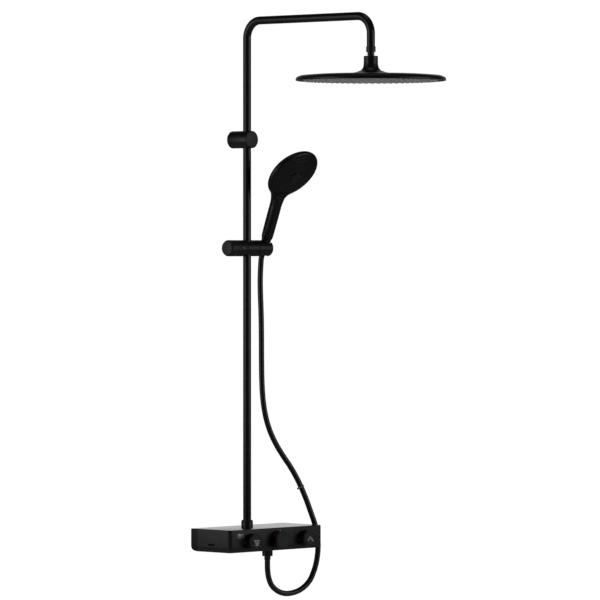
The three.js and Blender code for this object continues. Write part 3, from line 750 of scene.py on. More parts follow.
def casing_half(ends, y_cut, belly=13.0, wall=2.4):
    lay = []
    for i in range(13):  # belly: inset falls from belly to 0 as z climbs
        a = i / 12 * math.pi / 2
        lay.append((outline(belly * (1 - math.sin(a)), ends, 11, 5, y_cut), PZB + belly * (1 - math.cos(a))))
    for z, d in ((PZT - 0.9, 0.0), (PZT - 0.35, 0.12), (PZT - 0.08, 0.45), (PZT, 0.9), (PZT, wall - 0.45), (PZT - 0.1, wall - 0.1), (PZT - 0.5, wall)):
        lay.append((outline(d, ends, 11, 5, y_cut), z))
    bi = belly - wall
    for i in range(7):
        a = (1 - i / 6) * math.pi / 2
        lay.append((outline(wall + bi * (1 - math.sin(a)), ends, 11, 5, y_cut), PZB + wall + bi * (1 - math.cos(a))))
    return stack(lay)


OUT_C = mid("outlet_nipple")
# the finger notch: a shallow smile-shaped slot in the left end
notch = []
for k in range(17):
    t = -1 + 2 * k / 16
    notch.append((-78 + 11.5 * t, -9.8 + 2.0 * t * t))
for k in range(17):
    t = 1 - 2 * k / 16
    notch.append((-78 + 11.5 * t, -6.3 + 0.4 * t * t))
nn = len(notch)
notch_v = np.array([(PX0 - 2, y, z) for y, z in notch] + [(PX0 + 3.6, y, z) for y, z in notch])
notch_f = [(i, (i + 1) % nn, nn + (i + 1) % nn, nn + i) for i in range(nn)] + [tuple(range(nn))[::-1], tuple(range(nn, 2 * nn))]
shell_cut = cut(casing_half("front", SEAM_F), cyl(11.2, PZB - 3, PZB + 6, "z", (OUT_C[0], OUT_C[1], 0)), (notch_v, notch_f))
shell = add("casing_front", *shell_cut, "casing", "root", replaces="mixer_shell", sharp=35)
inl = [mid("union_nut_left")[0], mid("union_nut_right")[0]]
rear_cut = cut(casing_half("rear", SEAM_R), *[cyl(18.6, PYB - 6, PYB + 6, "y", (x, 0, 0)) for x in inl])
add("casing_rear", *rear_cut, "cover", "root", replaces="rear_cover", sharp=35)

SP_LO, SP_HI = box("shelf_plate")
lipd = SP_LO[0] - SH_LO[0]
lay = []
LID = PZT + 0.06  # the plate laps the casing rim and shows a slim bevel
for z, d in ((SP_LO[2], lipd + 0.5), (SP_LO[2] + 0.15, lipd + 0.15), (SP_LO[2] + 0.5, lipd), (LID - 0.1, lipd), (LID, lipd - 0.1), (LID, 1.0), (LID + 0.12, 0.85),
             (LID + 0.3, 0.85), (LID + 0.55, 1.0), (LID + 0.75, 1.35), (LID + 0.8, 1.8)):
    lay.append((outline(d, "both", 11, 5), z))
shelf_vf = cut(stack(lay), cyl(9.7, SP_LO[2] - 3, SP_HI[2] + 6, "z", (0, mid("riser_tube")[1], 0), 96))
add("shelf_top_plate", *shelf_vf, "shelf", "root", replaces="shelf_plate", sharp=35)

# a blank badge, front left
badge = slab(-9.6, 9.6, -4.8, 4.8, 0, 0.35, 0.12)
BX, BZ = -114.0, 12.4
FACE_Y = np.array([[1, 0, 0], [0, 0, -1], [0, 1, 0]], float)  # local +Z points out of the front (row -Y), +Y up
add("blank_badge", *put(badge, FACE_Y, (BX, PYF + 0.05, BZ)), "badge" if "badge" in M else "ink", "root")

# ------------------------------------------------------------------ front controls
KX = [mid("volume_ring_left")[0], mid("volume_ring_right")[0]]
KZ = mid("volume_ring_left")[2]
VF = box("volume_ring_left")[0][1]
PF = box("push_button_left")[0][1]
for side, x in (("left", KX[0]), ("right", KX[1])):
    body = side + "_control"
    ring_prof = [(5.5, -136.3), (16.6, -136.3, 0.3), (17.2, -136.9, 0.25), (17.2, -137.6, 0.25), (18, -138.4, 0.4), (18, VF + 4.6, 0.25), (14.8, VF + 4.6),
                 (14.8, VF + 13), (10, VF + 13), (10, -139), (5.5, -139)]
    # the ring's side takes the dark knob finish, painted shade; the bezel and the push face take the lighter knob_face
    # finish, painted light
    lathe("flow_ring_" + side, ring_prof, "volume_ring_" + side, "knob", body, "y", 180,
          wave=None, at=(x, 0, KZ), slot="matte_black_metal")
    lathe("flow_bezel_" + side, [(14.8, VF + 4.5), (18, VF + 4.5, 0.25), (18, VF, 2.3), (14.8, VF, 0.4)], None, "knob_face", body, "y", 180, replaces=False, at=(x, 0, KZ))
    nib = slab(-0.9, 0.9, -1.0, 1.0, 0, 0.7, 0.25)
    ang = math.radians(184)
    rot = np.stack([np.array([-math.sin(ang), 0, math.cos(ang)]), np.array([0, 1.0, 0]), np.array([math.cos(ang), 0, math.sin(ang)])], 1)
    if np.linalg.det(rot) < 0:
        rot[:, 0] *= -1
    add("flow_mark_" + side, *put(nib, rot, (x + 17.9 * math.cos(ang), -139.2, KZ + 17.9 * math.sin(ang))), "ink", body)
    push = [(0, -145.8), (7, -145.8, 0.3), (7, PF + 8.2, 0.5), (14.3, PF + 8.2, 0.4), (14.4, PF + 0.3, 0.7), (13.2, PF, 0.5), (9, PF + 0.15), (4, PF + 0.3), (0, PF + 0.35)]
    lathe("push_" + side, push, "push_button_" + side, "knob_face", side + "_push", "y", 128, at=(x, 0, KZ), slot="matte_black_plastic")

# plain pictograms, raised a hair from the push faces
def strip(points, w, h=0.28):
    """A rounded-end raised line through 2D points."""
    pts = [np.array(p, float) for p in points]
    left, right = [], []
    for i, p in enumerate(pts):
        d = (pts[min(i + 1, len(pts) - 1)] - pts[max(i - 1, 0)])
        d /= np.linalg.norm(d)
        nrm = np.array([-d[1], d[0]])
        left.append(p + nrm * w / 2)
        right.append(p - nrm * w / 2)
    d0 = (pts[1] - pts[0]) / np.linalg.norm(pts[1] - pts[0])
    d1 = (pts[-1] - pts[-2]) / np.linalg.norm(pts[-1] - pts[-2])
    cap1 = [pts[-1] + w / 2 * (math.cos(a) * np.array([-d1[1], d1[0]]) + math.sin(a) * d1) for a in np.linspace(0, math.pi, 7)[1:-1]]
    cap0 = [pts[0] + w / 2 * (-math.cos(a) * np.array([-d0[1], d0[0]]) - math.sin(a) * d0) for a in np.linspace(0, math.pi, 7)[1:-1]]
    out = left + cap1 + right[::-1] + cap0
    out = out[::-1]
    return tri_fan_prism(out, -0.15, h)


rain = [strip([(-7.6, 4.4), (8.6, 4.4)], 2.6), strip([(-3.4, 1.4), (-2.8, -5.2)], 3.0), strip([(0.8, 1.4), (0.8, -6.4)], 3.0),
        strip([(5.0, 1.4), (4.4, -5.2)], 3.0)]
spray = [strip([(-6.2, -4.0), (-0.6, 3.2)], 3.4), strip([(0.4, 3.2), (9.8, -5.6)], 3.4)]
PB = mid("push_button_left")
for side, x, marks, low in (("left", KX[0], rain, 1.4), ("right", KX[1], spray, 0.0)):
    add("picture_" + side, *put(join(*marks), FACE_Y, (x, PF + 0.28, KZ - low)), "ink", side + "_push", sharp=40)

TX, TZ = mid("temperature_knob")[0], mid("temperature_knob")[2]
SAFE = math.radians(137.5)
SDIR = np.array([math.cos(SAFE), 0, math.sin(SAFE)])
SROT = np.stack([np.cross(np.array([0, 1.0, 0]), SDIR), np.array([0, 1.0, 0]), SDIR], 1)
if np.linalg.det(SROT) < 0:
    SROT[:, 0] *= -1
SC = np.array([TX, mid("safety_button")[1], TZ])
TF, CF = box("temperature_knob")[0][1], box("temperature_knob_cap")[0][1]
temp_prof = rounded([(6.3, -136.3), (19.4, -136.3, 0.3), (20.2, -136.9, 0.25), (20.2, -137.6, 0.25), (21, -138.4, 0.4), (21, TF + 4.6, 0.25), (18.9, TF + 4.6),
                     (18.9, TF + 1.5), (6.3, TF + 1.5)], closed=True)
temp_vf = put(turn(temp_prof, 180, closed=True), "y", (TX, 0, TZ))
bore = put(turn([(0, 15.5), (6.4, 15.5), (6.4, 25), (0, 25)], 64), SROT, SC)
# the thermostat's side takes the dark knob finish, painted shade; its bezel and face take the lighter knob_face finish,
# painted light
add("thermostat_knob", *cut(temp_vf, bore), "knob", "temperature_control", replaces="temperature_knob", sharp=33)
lathe("thermostat_bezel", [(19.0, TF + 4.5), (21, TF + 4.5, 0.25), (21, TF, 1.3), (19.0, TF, 0.3)], None, "knob_face", "temperature_control", "y", 180, replaces=False, at=(TX, 0, TZ))
cap_prof = [(0, CF + 1.5), (18.6, CF + 1.5, 0.2), (18.6, CF, 0.55), (17, CF, 0.3), (12, CF + 0.14), (5, CF + 0.25), (0, CF + 0.3)]
lathe("thermostat_face", cap_prof, "temperature_knob_cap", "knob_face", "temperature_control", "y", 128, at=(TX, 0, TZ), slot="matte_black_metal")
stop_prof = rounded([(0, 14.4), (6, 14.4, 0.3), (6, 21.2, 0.8), (4.6, 21.5, 0.5), (0, 21.35)])
add("stop_button", *put(turn(stop_prof, 64), SROT, SC), "red", "safety_stop", replaces="safety_button")
# index mark on the thermostat's collar
add("thermostat_index", *put(slab(-0.6, 0.6, -2.0, 2.0, 0, 0.4, 0.18), np.stack([np.array([1.0, 0, 0]), np.array([0, 1.0, 0]), np.array([0, 0, 1.0])], 1), (TX, SC[1], TZ + 20.95)), "ink", "temperature_control")

# ------------------------------------------------------------------ wall side and waterway
for side in ("left", "right"):
    c = mid("union_nut_" + side)
    lathe("escutcheon_" + side, [(13.6, 0), (24, 0, 0.4), (24, -6.4, 1.4), (22, -8.9, 0.9), (13.6, -8.9, 0.5)], "wall_escutcheon_" + side, "metal", "root", "y", 128, at=(c[0], 0, 0))
    un = [(7, 18, 0.3), (10.4, 18, 0.8)]
    for i in range(9):
        h = 16.6 - i * 1.8
        un += [(10.4, h), (9.7, h - 0.9)]
    un += [(10.4, 0.2), (10.4, -1), (13, -1, 0.3), (13, -22, 0.4), (7, -22)]
    lathe("union_" + side, un, "inlet_union_" + side, "brass", "root", "y", 64, at=(c[0], 0, 0), slot="brass")
    lathe("filter_" + side, [(6.5, -22.3, 0.2), (12.6, -22.3, 0.3), (12.6, -24.3, 0.3), (6.5, -24.3, 0.2)], "filter_washer_" + side, "rubber", "root", "y", 64, at=(c[0], 0, 0))
    lathe("union_nut_hex_" + side, [(13.4, -14.5, 0.3), (15.2, -14.5), (17, -15.6), (17, -28.6), (15.2, -30), (10.5, -30, 0.3), (10.5, -27.4), (13.4, -27.4)],
          "union_nut_" + side, "steel", "root", "y", 120, at=(c[0], 0, 0), wave=lambda th, r, h: min(r, 14.75 / math.cos((th + math.pi / 6) % (math.pi / 3) - math.pi / 6)) if r > 14.6 else r, sharp=28)

RY = mid("riser_tube")[1]
lathe("riser_washer", [(6, 18.2, 0.3), (9, 18.2, 0.4), (9, 20.3, 0.4), (6, 20.3, 0.3)], "riser_seal", "rubber", "root", "z", 64, at=(0, RY, 0))
lathe("riser_collar", [(9.3, 24.5, 0.2), (12.6, 24.5, 0.5), (12.6, 25.6, 0.2), (13, 26.1, 0.3), (13, 36.2, 0.9), (11.5, 39.5, 0.7), (9.3, 39.5, 0.4)], "riser_nut", "metal", "root", "z", 144, at=(0, RY, 0))
RT = box("riser_tube")
lathe("riser_pipe", [(7.8, RT[0][2]), (9, RT[0][2], 0.3), (9, RT[1][2], 0.35), (7.8, RT[1][2], 0.3)], "riser_tube", "pipe", "root", "z", 96, at=(0, RY, 0))
lathe("inner_sleeve", [(5.6, 846, 0.3), (7.4, 846, 0.6), (7.4, 908, 0.6), (5.6, 908, 0.3)], "joint_sleeve", "rubber", "root", "z", 64, at=(0, RY, 0))

BZC = mid("wall_bracket_body")[2]
BR, BFR, CPF = box("wall_bracket_body")[1][0], box("wall_bracket_body")[0][1], box("bracket_cap")[0][1]
br = [(17.3, -0.5), (BR, -0.5, 0.3), (BR, BFR, 0.6), (0, BFR), (0, -28), (12.4, -28), (12.4, -4.4), (17.3, -4.4)]
br_vf = cut(put(turn(rounded(br), 128, closed=True), "y", (0, 0, BZC)), cyl(9.35, BZC - 30, BZC + 30, "z", (0, RY, 0), 96), cyl(2.8, BZC - 25, BZC - 10, "z", (0, -14, 0), 32))
add("bracket_barrel", *br_vf, "metal", "root", replaces="wall_bracket_body", sharp=33)
lathe("bracket_front_cap", [(0, BFR - 0.3), (BR, BFR - 0.3, 0.35), (BR, CPF, 1.2), (0, CPF)], "bracket_cap", "disc", "root", "y", 128, at=(0, 0, BZC))
lathe("bracket_boss", [(3, 0), (17, 0, 0.4), (17, -4.1, 0.5), (12.1, -4.1, 0.3), (12.1, -24, 0.8), (6, -24, 0.3), (6, -12), (3, -12)], "bracket_wall_stub", "steel", "root", "y", 96, at=(0, 0, BZC))
ws = [(0, -1), (1.7, -1)]
for i in range(6):
    h = -1.9 - i * 1.6
    ws += [(2.4, h), (1.85, h - 0.8)]
ws += [(2.4, -11.4), (2.4, -12.3), (5, -12.3, 0.3), (4.6, -14.8, 0.6), (2.8, -16, 0.4), (1.6, -16), (1.6, -13.6), (0, -13.6)]
lathe("bracket_screw", ws, "wall_screw", "steel", "root", "y", 48, at=(0, 0, BZC), sharp=28)
hexbore = lambda th, r, h: (1.25 / math.cos((th + math.pi / 6) % (math.pi / 3) - math.pi / 6)) if 1.2 < r < 1.5 else r
gs = box("bracket_grub_screw")
lathe("bracket_grub", [(0, gs[0][2] + 2.4), (1.4, gs[0][2] + 2.4), (1.4, gs[0][2]), (2.2, gs[0][2]), (2.5, gs[0][2] + 0.4), (2.5, gs[1][2], 0.3), (0, gs[1][2])],
      "bracket_grub_screw", "steel", "root", "z", 48, at=(0, -14, 0), wave=hexbore, sharp=28)

# ------------------------------------------------------------------ swan-neck arm
AZT = box("arm_tube")[1][2] - 9
DY = mid("arm_end_collar")[1]
BEND = 39.0
arm = [(0, RY, 876.0), (0, RY, 940), (0, RY, AZT - BEND - 30)]
for i in range(25):
    a = i / 24 * math.pi / 2
    arm.append((0, RY - BEND + BEND * math.cos(a), AZT - BEND + BEND * math.sin(a)))
arm += [(0, RY - BEND - 40, AZT), (0, (RY + DY) / 2, AZT), (0, DY + BEND + 40, AZT)]
for i in range(25):
    a = i / 24 * math.pi / 2
    arm.append((0, DY + BEND - BEND * math.sin(a), AZT - BEND + BEND * math.cos(a)))
arm += [(0, DY, 1085), (0, DY, 1070.2)]
add("arm_pipe", *tube(arm, 9.0, 7.8, 96), "pipe", "arm", replaces="arm_tube", sharp=40)
lathe("arm_collar", [(8.1, 1068), (10.4, 1068, 0.6), (10.4, 1080, 0.5), (9.35, 1080, 0.2), (9.35, 1069.8), (8.1, 1069.8)], "arm_end_collar", "metal", "arm", "z", 96)
BALL_Z, BALL_R = 1051.5, 9.5
bn = [(3.1, 1084), (3.1, BALL_Z - 9.0)]
for i in range(28):
    a = math.radians(-71 + (51 + 71) * i / 27)
    bn.append((BALL_R * math.cos(a), BALL_Z + BALL_R * math.sin(a)))
bn += [(6.4, 1060), (7.75, 1060.8, 0.4), (7.75, 1063.2, 0.2), (7.2, 1063.7), (7.2, 1064.7), (7.75, 1065.2, 0.2), (7.75, 1069.9, 0.1), (7.4, 1070), (7.4, 1084)]
lathe("ball_neck", bn, "ball_nipple", "pipe", "arm", "z", 96, slot="matte_black_metal")


def arcs(r, a0, a1, n):
    return [(r * math.cos(math.radians(a0 + (a1 - a0) * i / n)), BALL_Z + r * math.sin(math.radians(a0 + (a1 - a0) * i / n))) for i in range(n + 1)]


lathe("ball_cup", arcs(12, -30, 24.6, 16) + arcs(9.92, 30.3, -37.2, 18), "ball_seat", "white", "ball_ring", "z", 96)

# ------------------------------------------------------------------ rain head
hub = [(10.6, 1059.4, 0.4), (15.5, 1059.4, 0.9), (15.5, 1052.2, 0.15), (15.15, 1051.9), (15.15, 1051.3), (15.5, 1051.0, 0.15), (15.5, 1042.5, 8), (17.2, 1033.6, 7), (22, 1028.4, 0.2), (9.4, 1028.4)]
lathe("swivel_hub", hub + arcs(12.46, -40.2, 30.6, 18), "head_hub", "metal", "rain_head", "z", 128)
HT, HR = box("head_shell")[1][2], 163.0
HB = box("head_shell")[0][2]
hs = [(9, HT), (22.3, HT, 0.2), (30, 1025.2, 8), (40, 1022.8, 12), (54, 1021.0, 16), (90, 1020.2, 30), (124, 1019.2, 30), (153, 1017.0, 14), (161.3, 1013.4, 5), (HR, 1009.6, 3), (HR, HB + 0.4, 1.4), (161.0, HB, 0.5), (158.9, HB, 0.3),
      (158.9, 1012.3), (150, 1014.6, 4), (60, 1017.6, 8), (30, 1022, 5), (20, 1024.8, 3), (9, 1024.8)]
lathe("head_dome", hs, "head_shell", "head", "rain_head", "z", 224, sharp=40)
pl = box("head_spray_plate")
face_p = [(0, pl[0][2] + 0.1), (6.5, pl[0][2] + 0.1, 0.3), (7.5, pl[0][2] + 0.5, 0.3)]
for k in range(1, 12):
    r = 13.0 * k
    face_p += [(r - 4.2, pl[0][2] + 0.45, 0.6), (r - 3.0, pl[0][2] + 0.05, 0.6), (r + 3.0, pl[0][2] + 0.05, 0.6), (r + 4.2, pl[0][2] + 0.45, 0.6)]
face_p += [(153, pl[0][2] + 0.4), (154, pl[0][2], 0.3), (158.5, pl[0][2], 0.4), (158.5, pl[1][2], 0.3), (0, pl[1][2])]
lathe("spray_face", face_p, "head_spray_plate", "spray_plate", "rain_head", "z", 224, sharp=40)


def nubs(rings, z_root, z_tip, r0, r1, segs=10, hole=True):
    """A field of tapered nozzles pointing to -Z."""
    v, f = [], []
    for radius, count, off in rings:
        for i in range(count):
            a = 2 * math.pi * (i + off) / max(count, 1)
            cx, cy = radius * math.cos(a), radius * math.sin(a)
            b = len(v)
            prof = [(r0 * 1.25, z_root), (r0, z_root - (z_root - z_tip) * 0.35), (r1, z_tip + 0.25 * abs(z_root - z_tip) * 0.3), (r1 * 0.82, z_tip)]
            if hole:
                prof += [(r1 * 0.38, z_tip), (r1 * 0.34, z_tip + 0.7)]
            for r, z in prof:
                for s in range(segs):
                    t = 2 * math.pi * s / segs
                    v.append((cx + r * math.cos(t), cy + r * math.sin(t), z))
            k = len(prof)
            for j in range(k - 1):
                for s in range(segs):
                    u = (s + 1) % segs
                    f.append((b + j * segs + s, b + (j + 1) * segs + s, b + (j + 1) * segs + u, b + j * segs + u))
            f.append(tuple(b + s for s in range(segs)))
            f.append(tuple(b + (k - 1) * segs + s for s in range(segs))[::-1])
    return np.array(v), f


mat_box = box("head_nozzle_mat")
rain_rings = [(13.0 * k, 6 * k, 0.5 * (k % 2)) for k in range(1, 12)]
disc = turn(rounded([(0, mat_box[0][2]), (154, mat_box[0][2], 0.3), (154, mat_box[1][2], 0.3), (0, mat_box[1][2])]), 128)
field = nubs([(0, 1, 0)] + rain_rings, mat_box[0][2] + 0.3, HB - 1.8, 2.5, 1.9)
HC = (0, DY, 0)
add("rain_nozzles", *put(join(disc, field), "z", HC), "silicone", "rain_head", replaces="head_nozzle_mat", sharp=45)

# ------------------------------------------------------------------ slider
SZ = mid("slider_body")[2]


def P_slider(p):
    return p - np.array([0, RY, SZ])


def cap_cyl(x, rr, x0, x1, r, edge):
    """Rounded cylinder along x: rr is the distance from the axis."""
    dx = np.maximum(x0 - x, x - x1) + edge
    dr = rr - r + edge
    return np.minimum(np.maximum(dx, dr), 0) + np.hypot(np.maximum(dx, 0), np.maximum(dr, 0)) - edge


def f_slider(p):
    q = P_slider(p)
    rr = np.hypot(q[:, 1], q[:, 2])
    d = cap_cyl(q[:, 0], rr, -13.5, 24.0, 18.0, 0.8)
    hole = np.hypot(q[:, 0], q[:, 1]) - 10.75
    d = smax(d, -hole, 0.9)
    piv = np.maximum(rr - 7.3, 11.4 - q[:, 0])
    screw = np.maximum(rr - 4.4, q[:, 0] + 5)
    return np.maximum(np.maximum(d, -piv), -screw)


v, f = net(f_slider, (-15, RY - 19.5, SZ - 19.5), (25.5, RY + 19.5, SZ + 19.5), 0.55)
add("slider_barrel", v, f, "metal", "slider", replaces="slider_body", sharp=50)
lathe("slider_bush", [(9.35, SZ - 13.5, 0.3), (10.4, SZ - 13.5, 0.3), (10.4, SZ + 13.5, 0.3), (9.35, SZ + 13.5, 0.3)], "slider_liner", "rubber", "slider", "z", 96, at=(0, RY, 0))
lathe("slider_spacer", [(5, -32.4, 0.2), (18, -32.4, 0.5), (18, -13.9, 0.5), (5, -13.9, 0.2)], "slider_ring", "metal", "slider", "x", 128, at=(0, RY, SZ))
lathe("lock_dial", [(0, -61), (14, -61, 0.4), (15, -60), (15, -45), (4.7, -45), (4.7, -32.8), (18, -32.8, 0.5), (18, -60.4, 3.0), (15.4, -64.6, 1.4), (12, -65), (0, -65)],
      "lock_knob", "disc", "slider_lock", "x", 128, at=(0, RY, SZ))
lathe("clamp_bolt", [(0, -58), (4.1, -58, 0.4), (4.1, -10.9, 0.6), (0, -10.9)], "clamp_screw", "steel", "slider_lock", "x", 48, at=(0, RY, SZ))

CL, SL = math.cos(LEAN), math.sin(LEAN)
SOCK = END[0]


def f_holder(p):
    q = P_slider(p)
    rr = np.hypot(q[:, 1], q[:, 2])
    d = cap_cyl(q[:, 0], rr, 24.3, 67.0, 18.0, 2.4)
    d = np.minimum(d, cap_cyl(q[:, 0], rr, 12.0, 30.0, 7.0, 0.3))
    x = q[:, 0] - SOCK
    ly = q[:, 1] * CL + q[:, 2] * SL
    lz = -q[:, 1] * SL + q[:, 2] * CL
    rad = np.hypot(x, ly)
    cone = np.maximum((rad - (7.85 + 0.125 * (lz + 6))) * 0.992, -7.1 - lz)
    low = np.maximum(rad - 11.0, lz + 7.2)
    slot = np.maximum(np.abs(ly) - 6.9, -x)
    void = np.minimum(np.minimum(cone, low), slot)
    return smax(d, -void, 1.0)


v, f = net(f_holder, (10.8, RY - 19.6, SZ - 19.6), (68.4, RY + 19.6, SZ + 19.6), 0.6)
add("cone_cradle", v, f, "metal", "holder", replaces="cone_holder", sharp=55)

# ------------------------------------------------------------------ hand shower
RL = np.array([[1, 0, 0], [0, CL, -SL], [0, SL, CL]])  # leaning frame to row frame
FT = math.radians(21.4)
a = math.pi / 2 + FT
RF = np.array([[1, 0, 0], [0, math.cos(a), -math.sin(a)], [0, math.sin(a), math.cos(a)]])
FC = np.array([0, -28.0, 184.4])
R_FACE = RL @ RF
C_FACE = RL @ FC + END


def hand_put(vf):
    return put(vf, RL, END)


def face_put(vf):
    return put(vf, R_FACE, C_FACE)


cone = rounded([(6, -6), (7.5, -6, 0.5), (11.25, 24, 0.6), (9.5, 24), (9.5, 9), (6, 9)], closed=True)
add("cone_nut", *hand_put(turn(cone, 96, closed=True)), "metal", "hose_end", replaces="hose_cone_nut")
fer = rounded([(4, -14, 0.2), (6.6, -14, 0.4), (6.6, -6.4, 0.2), (5.6, -6.4), (5.6, 9.4), (8.8, 9.4, 0.2), (8.8, 11, 0.2), (4, 11)], closed=True)
add("cone_ferrule", *hand_put(turn(fer, 64, closed=True)), "metal", "hose_end", replaces="hose_ferrule_upper", slot="steel")

DOME = np.array([(0, -25), (10, -24.95), (18, -24.6), (27, -23.6), (36, -22), (43.5, -19.9), (50, -17.4), (55.5, -14.3), (60, -11), (62.3, -8.6), (63.6, -5.9), (64, -3.5), (63.8, -1.6), (63.0, -0.1), (61.9, 1.2), (60.6, 2.2), (0, 2.2)], float)


def poly_sdf(x, y, P):
    """Signed distance to a closed polygon (negative inside)."""
    d = np.full(x.shape, 1e9)
    inside = np.zeros(x.shape, bool)
    n = len(P)
    for i in range(n):
        ax, ay = P[i]
        bx, by = P[(i + 1) % n]
        ex, ey = bx - ax, by - ay
        wx, wy = x - ax, y - ay
        t = np.clip((wx * ex + wy * ey) / (ex * ex + ey * ey), 0, 1)
        d = np.minimum(d, (wx - ex * t) ** 2 + (wy - ey * t) ** 2)
        c = (ay > y) != (by > y)
        if abs(by - ay) > 1e-12:
            inside ^= c & (x < (bx - ax) * (y - ay) / (by - ay) + ax)
    return np.where(inside, -1, 1) * np.sqrt(d)


HZ = np.array([20, 24.4, 27, 45, 70, 104, 116, 128, 142, 160, 175])
HRX = np.array([11.6, 12.2, 12.9, 13.3, 13.5, 13.6, 16.0, 21.5, 29.5, 38.0, 41.0])
HRY = np.array([11.6, 12.2, 12.9, 13.3, 13.5, 13.3, 13.2, 13.0, 12.0, 9.0, 6.5])
HCY = np.array([0, 0, 0, 0, 0, 0, -0.4, -0.6, -1.5, -8.0, -15.0])
HTI = np.array([0, 0, 0, 0, 0, 0, -0.1, -0.25, -0.36, -0.37, -0.37])
zz = np.linspace(20, 175, 156)


def ease(vals):
    w = np.interp(zz, HZ, vals)
    k = np.hanning(15)
    k /= k.sum()
    pad = np.concatenate([np.full(7, w[0]), w, np.full(7, w[-1])])
    return np.convolve(pad, k, "valid")


ERX, ERY, ECY, ETI = (ease(v) for v in (HRX, HRY, HCY, HTI))


def to_face(p):
    return (p - FC) @ RF


def f_hand(p):
    x, y, z = p.T
    ti = np.interp(z, zz, ETI)
    z2 = z - (y - np.interp(z, zz, ECY)) * np.tan(ti)
    rx, ry, cy = np.interp(z2, zz, ERX), np.interp(z2, zz, ERY), np.interp(z2, zz, ECY)
    k = np.hypot(x / rx, (y - cy) / ry)
    g = np.hypot(x / rx ** 2, (y - cy) / ry ** 2) / np.maximum(k, 1e-6)
    side = (k - 1) / np.maximum(g, 1e-3)
    stem = smax(side, 24.4 - z, 1.6)
    stem = smax(stem, z - 172, 3)
    q = to_face(p)
    r = np.hypot(q[:, 0], q[:, 1])
    dome = poly_sdf(r, q[:, 2], DOME)
    d = smin(stem, dome, 9.0)
    d = smax(d, -np.maximum(r - 61.0, 2.2 - q[:, 2]), 1.0)
    well = np.maximum(r - 58.5, -12.5 - q[:, 2])
    d = smax(d, -well, 0.9)
    tail = np.maximum(np.hypot(x, y) - 9.1, np.maximum(13.6 - z, z - 30))
    return np.minimum(d, tail)


v, f = net(f_hand, (-66.5, -100, 12.5), (66.5, 20, 256), 1.1)
add("hand_shell", *hand_put((v, f)), "hand", "handset", replaces="handset_shell", sharp=50)



def crown(r):
    """Height of the domed spray face at radius r."""
    return 9.6 - 7.8 * ((r - 15.4) / 42.7) ** 1.75 if r > 15.4 else 9.6


plate = [(15.5, 6.6, 0.2), (36, 4.2, 4), (58.1, -1.4, 0.3), (58.1, 1.8, 0.8), (56.2, crown(56.2), 0.4), (55.2, crown(55.2) - 0.45, 0.3)]
for k in range(4):
    r = 49.5 - 8.0 * k
    plate += [(r + 2.6, crown(r + 2.6) - 0.45, 0.5), (r + 1.7, crown(r + 1.7) - 0.1, 0.5), (r - 1.7, crown(r - 1.7) - 0.1, 0.5), (r - 2.6, crown(r - 2.6) - 0.45, 0.5)]
plate += [(19.6, crown(19.6) - 0.45, 0.4), (18.4, crown(18.4) + 0.1, 0.5), (15.5, 9.6, 0.5)]
add("spray_disc", *face_put(turn(rounded(plate, closed=True), 160, closed=True)), "face", "handset", replaces="handset_face_plate", sharp=38)
mat2 = turn(rounded([(16, 4.2), (36, 1.8), (56, -3.4, 0.2), (56, -1.6, 0.2), (36, 3.5), (16, 6)], closed=True), 96, closed=True)
fl = np.diag([1.0, -1.0, -1.0])
nub2 = join(*[put(nubs([(r, n, o)], -crown(r) + 2.6, -crown(r) - 0.75, 1.15, 0.8, 8), fl, (0, 0, 0)) for r, n, o in ((49.5, 40, 0), (41.5, 32, 0.5), (33.5, 26, 0), (25.5, 20, 0.5))])
add("spray_nozzles", *face_put(join(mat2, nub2)), "rubber", "handset", replaces="handset_nozzle_mat", sharp=45)
add("diverter_disc", *face_put(turn(rounded([(0, -12), (30, -12, 0.6), (30, -9, 0.6), (0, -9)]), 64)), "white", "handset", replaces="spray_diverter")
btn = rounded([(0, 1.4), (6, 1.4, 0.3), (6, 8, 0.5), (14.9, 8, 0.3), (15, 10.6, 1.3), (12.6, 11.6, 1.2), (9.4, 11.2, 2.0), (0, 10.4)])
add("select_button", *face_put(turn(btn, 96)), "gloss_button", "handset_button", replaces="spray_button", sharp=40)

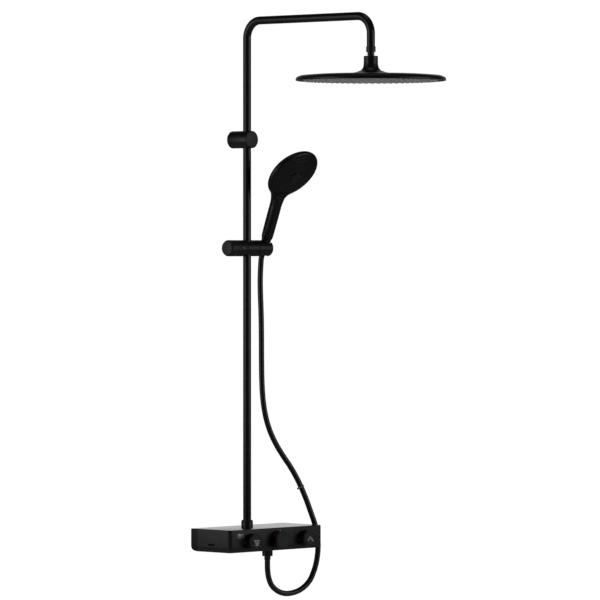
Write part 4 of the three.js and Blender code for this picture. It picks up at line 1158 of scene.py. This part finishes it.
# ------------------------------------------------------------------ outlet
OX, OY = OUT_C[0], OUT_C[1]
on = [(5, -10), (8, -10, 0.3), (8, -21), (10.6, -21, 0.3), (10.6, -26.5, 0.4)]
for i in range(4):
    h = -27.2 - i * 1.4
    on += [(9.3, h), (9.9, h - 0.7)]
on += [(9.6, -33, 0.3), (5, -33)]
lathe("outlet_thread", on, "outlet_nipple", "pipe", "root", "z", 64, slot="brass")
nutp = [(10.25, -27), (10.9, -27, 0.3), (11.7, -28, 0.3), (11.7, -40.3, 0.5), (10.6, -41.5, 0.4), (7.35, -41.5, 0.2), (7.35, -38), (10.25, -38)]
lathe("hose_nut_ribbed", nutp, "hose_nut_lower", "metal", "root", "z", 192, wave=lambda th, r, h: r - (0.45 * (0.5 - 0.5 * math.cos(24 * th)) if -40.4 < h < -28.6 and r > 11.3 else 0))
lathe("hose_sleeve", [(4, -35.6), (9.6, -35.6, 0.2), (9.6, -37.6), (7, -37.6), (7, -47.5, 0.4), (6.7, -50, 0.7), (4, -50)], "hose_ferrule_lower", "metal", "root", "z", 96)

# ------------------------------------------------------------------ CAD nodes that stay: the water passages inside the casing
for n, m in (("valve_body", "brass"), ("thermostat_cartridge", "white"), ("flow_cartridge_left", "white"), ("flow_cartridge_right", "white")):
    ob = NODES[n]
    ob.data.materials.clear()
    ob.data.materials.append(M[m])
    bevel(ob, 0.4, 2, 40)

# ------------------------------------------------------------------ floor
bpy.ops.mesh.primitive_plane_add(size=12.0, location=(0, 0, -1.0))
floor = bpy.context.object
floor.name = "floor"
fm = finish("floor_paint", (0.78, 0.78, 0.775), 0.7, spec=0.2, grain=0.15, grain_size=3.0, tint_vary=0.01)
floor_path = fm.node_tree.nodes.new("ShaderNodeLightPath")
for n in fm.node_tree.nodes:
    if n.type == "BSDF_PRINCIPLED":  # pale to the eye from every side without lighting the shower from below
        n.inputs["Emission Color"].default_value = (0.72, 0.72, 0.715, 1)
        fm.node_tree.links.new(floor_path.outputs["Is Camera Ray"], n.inputs["Emission Strength"])
floor.data.materials.append(fm)
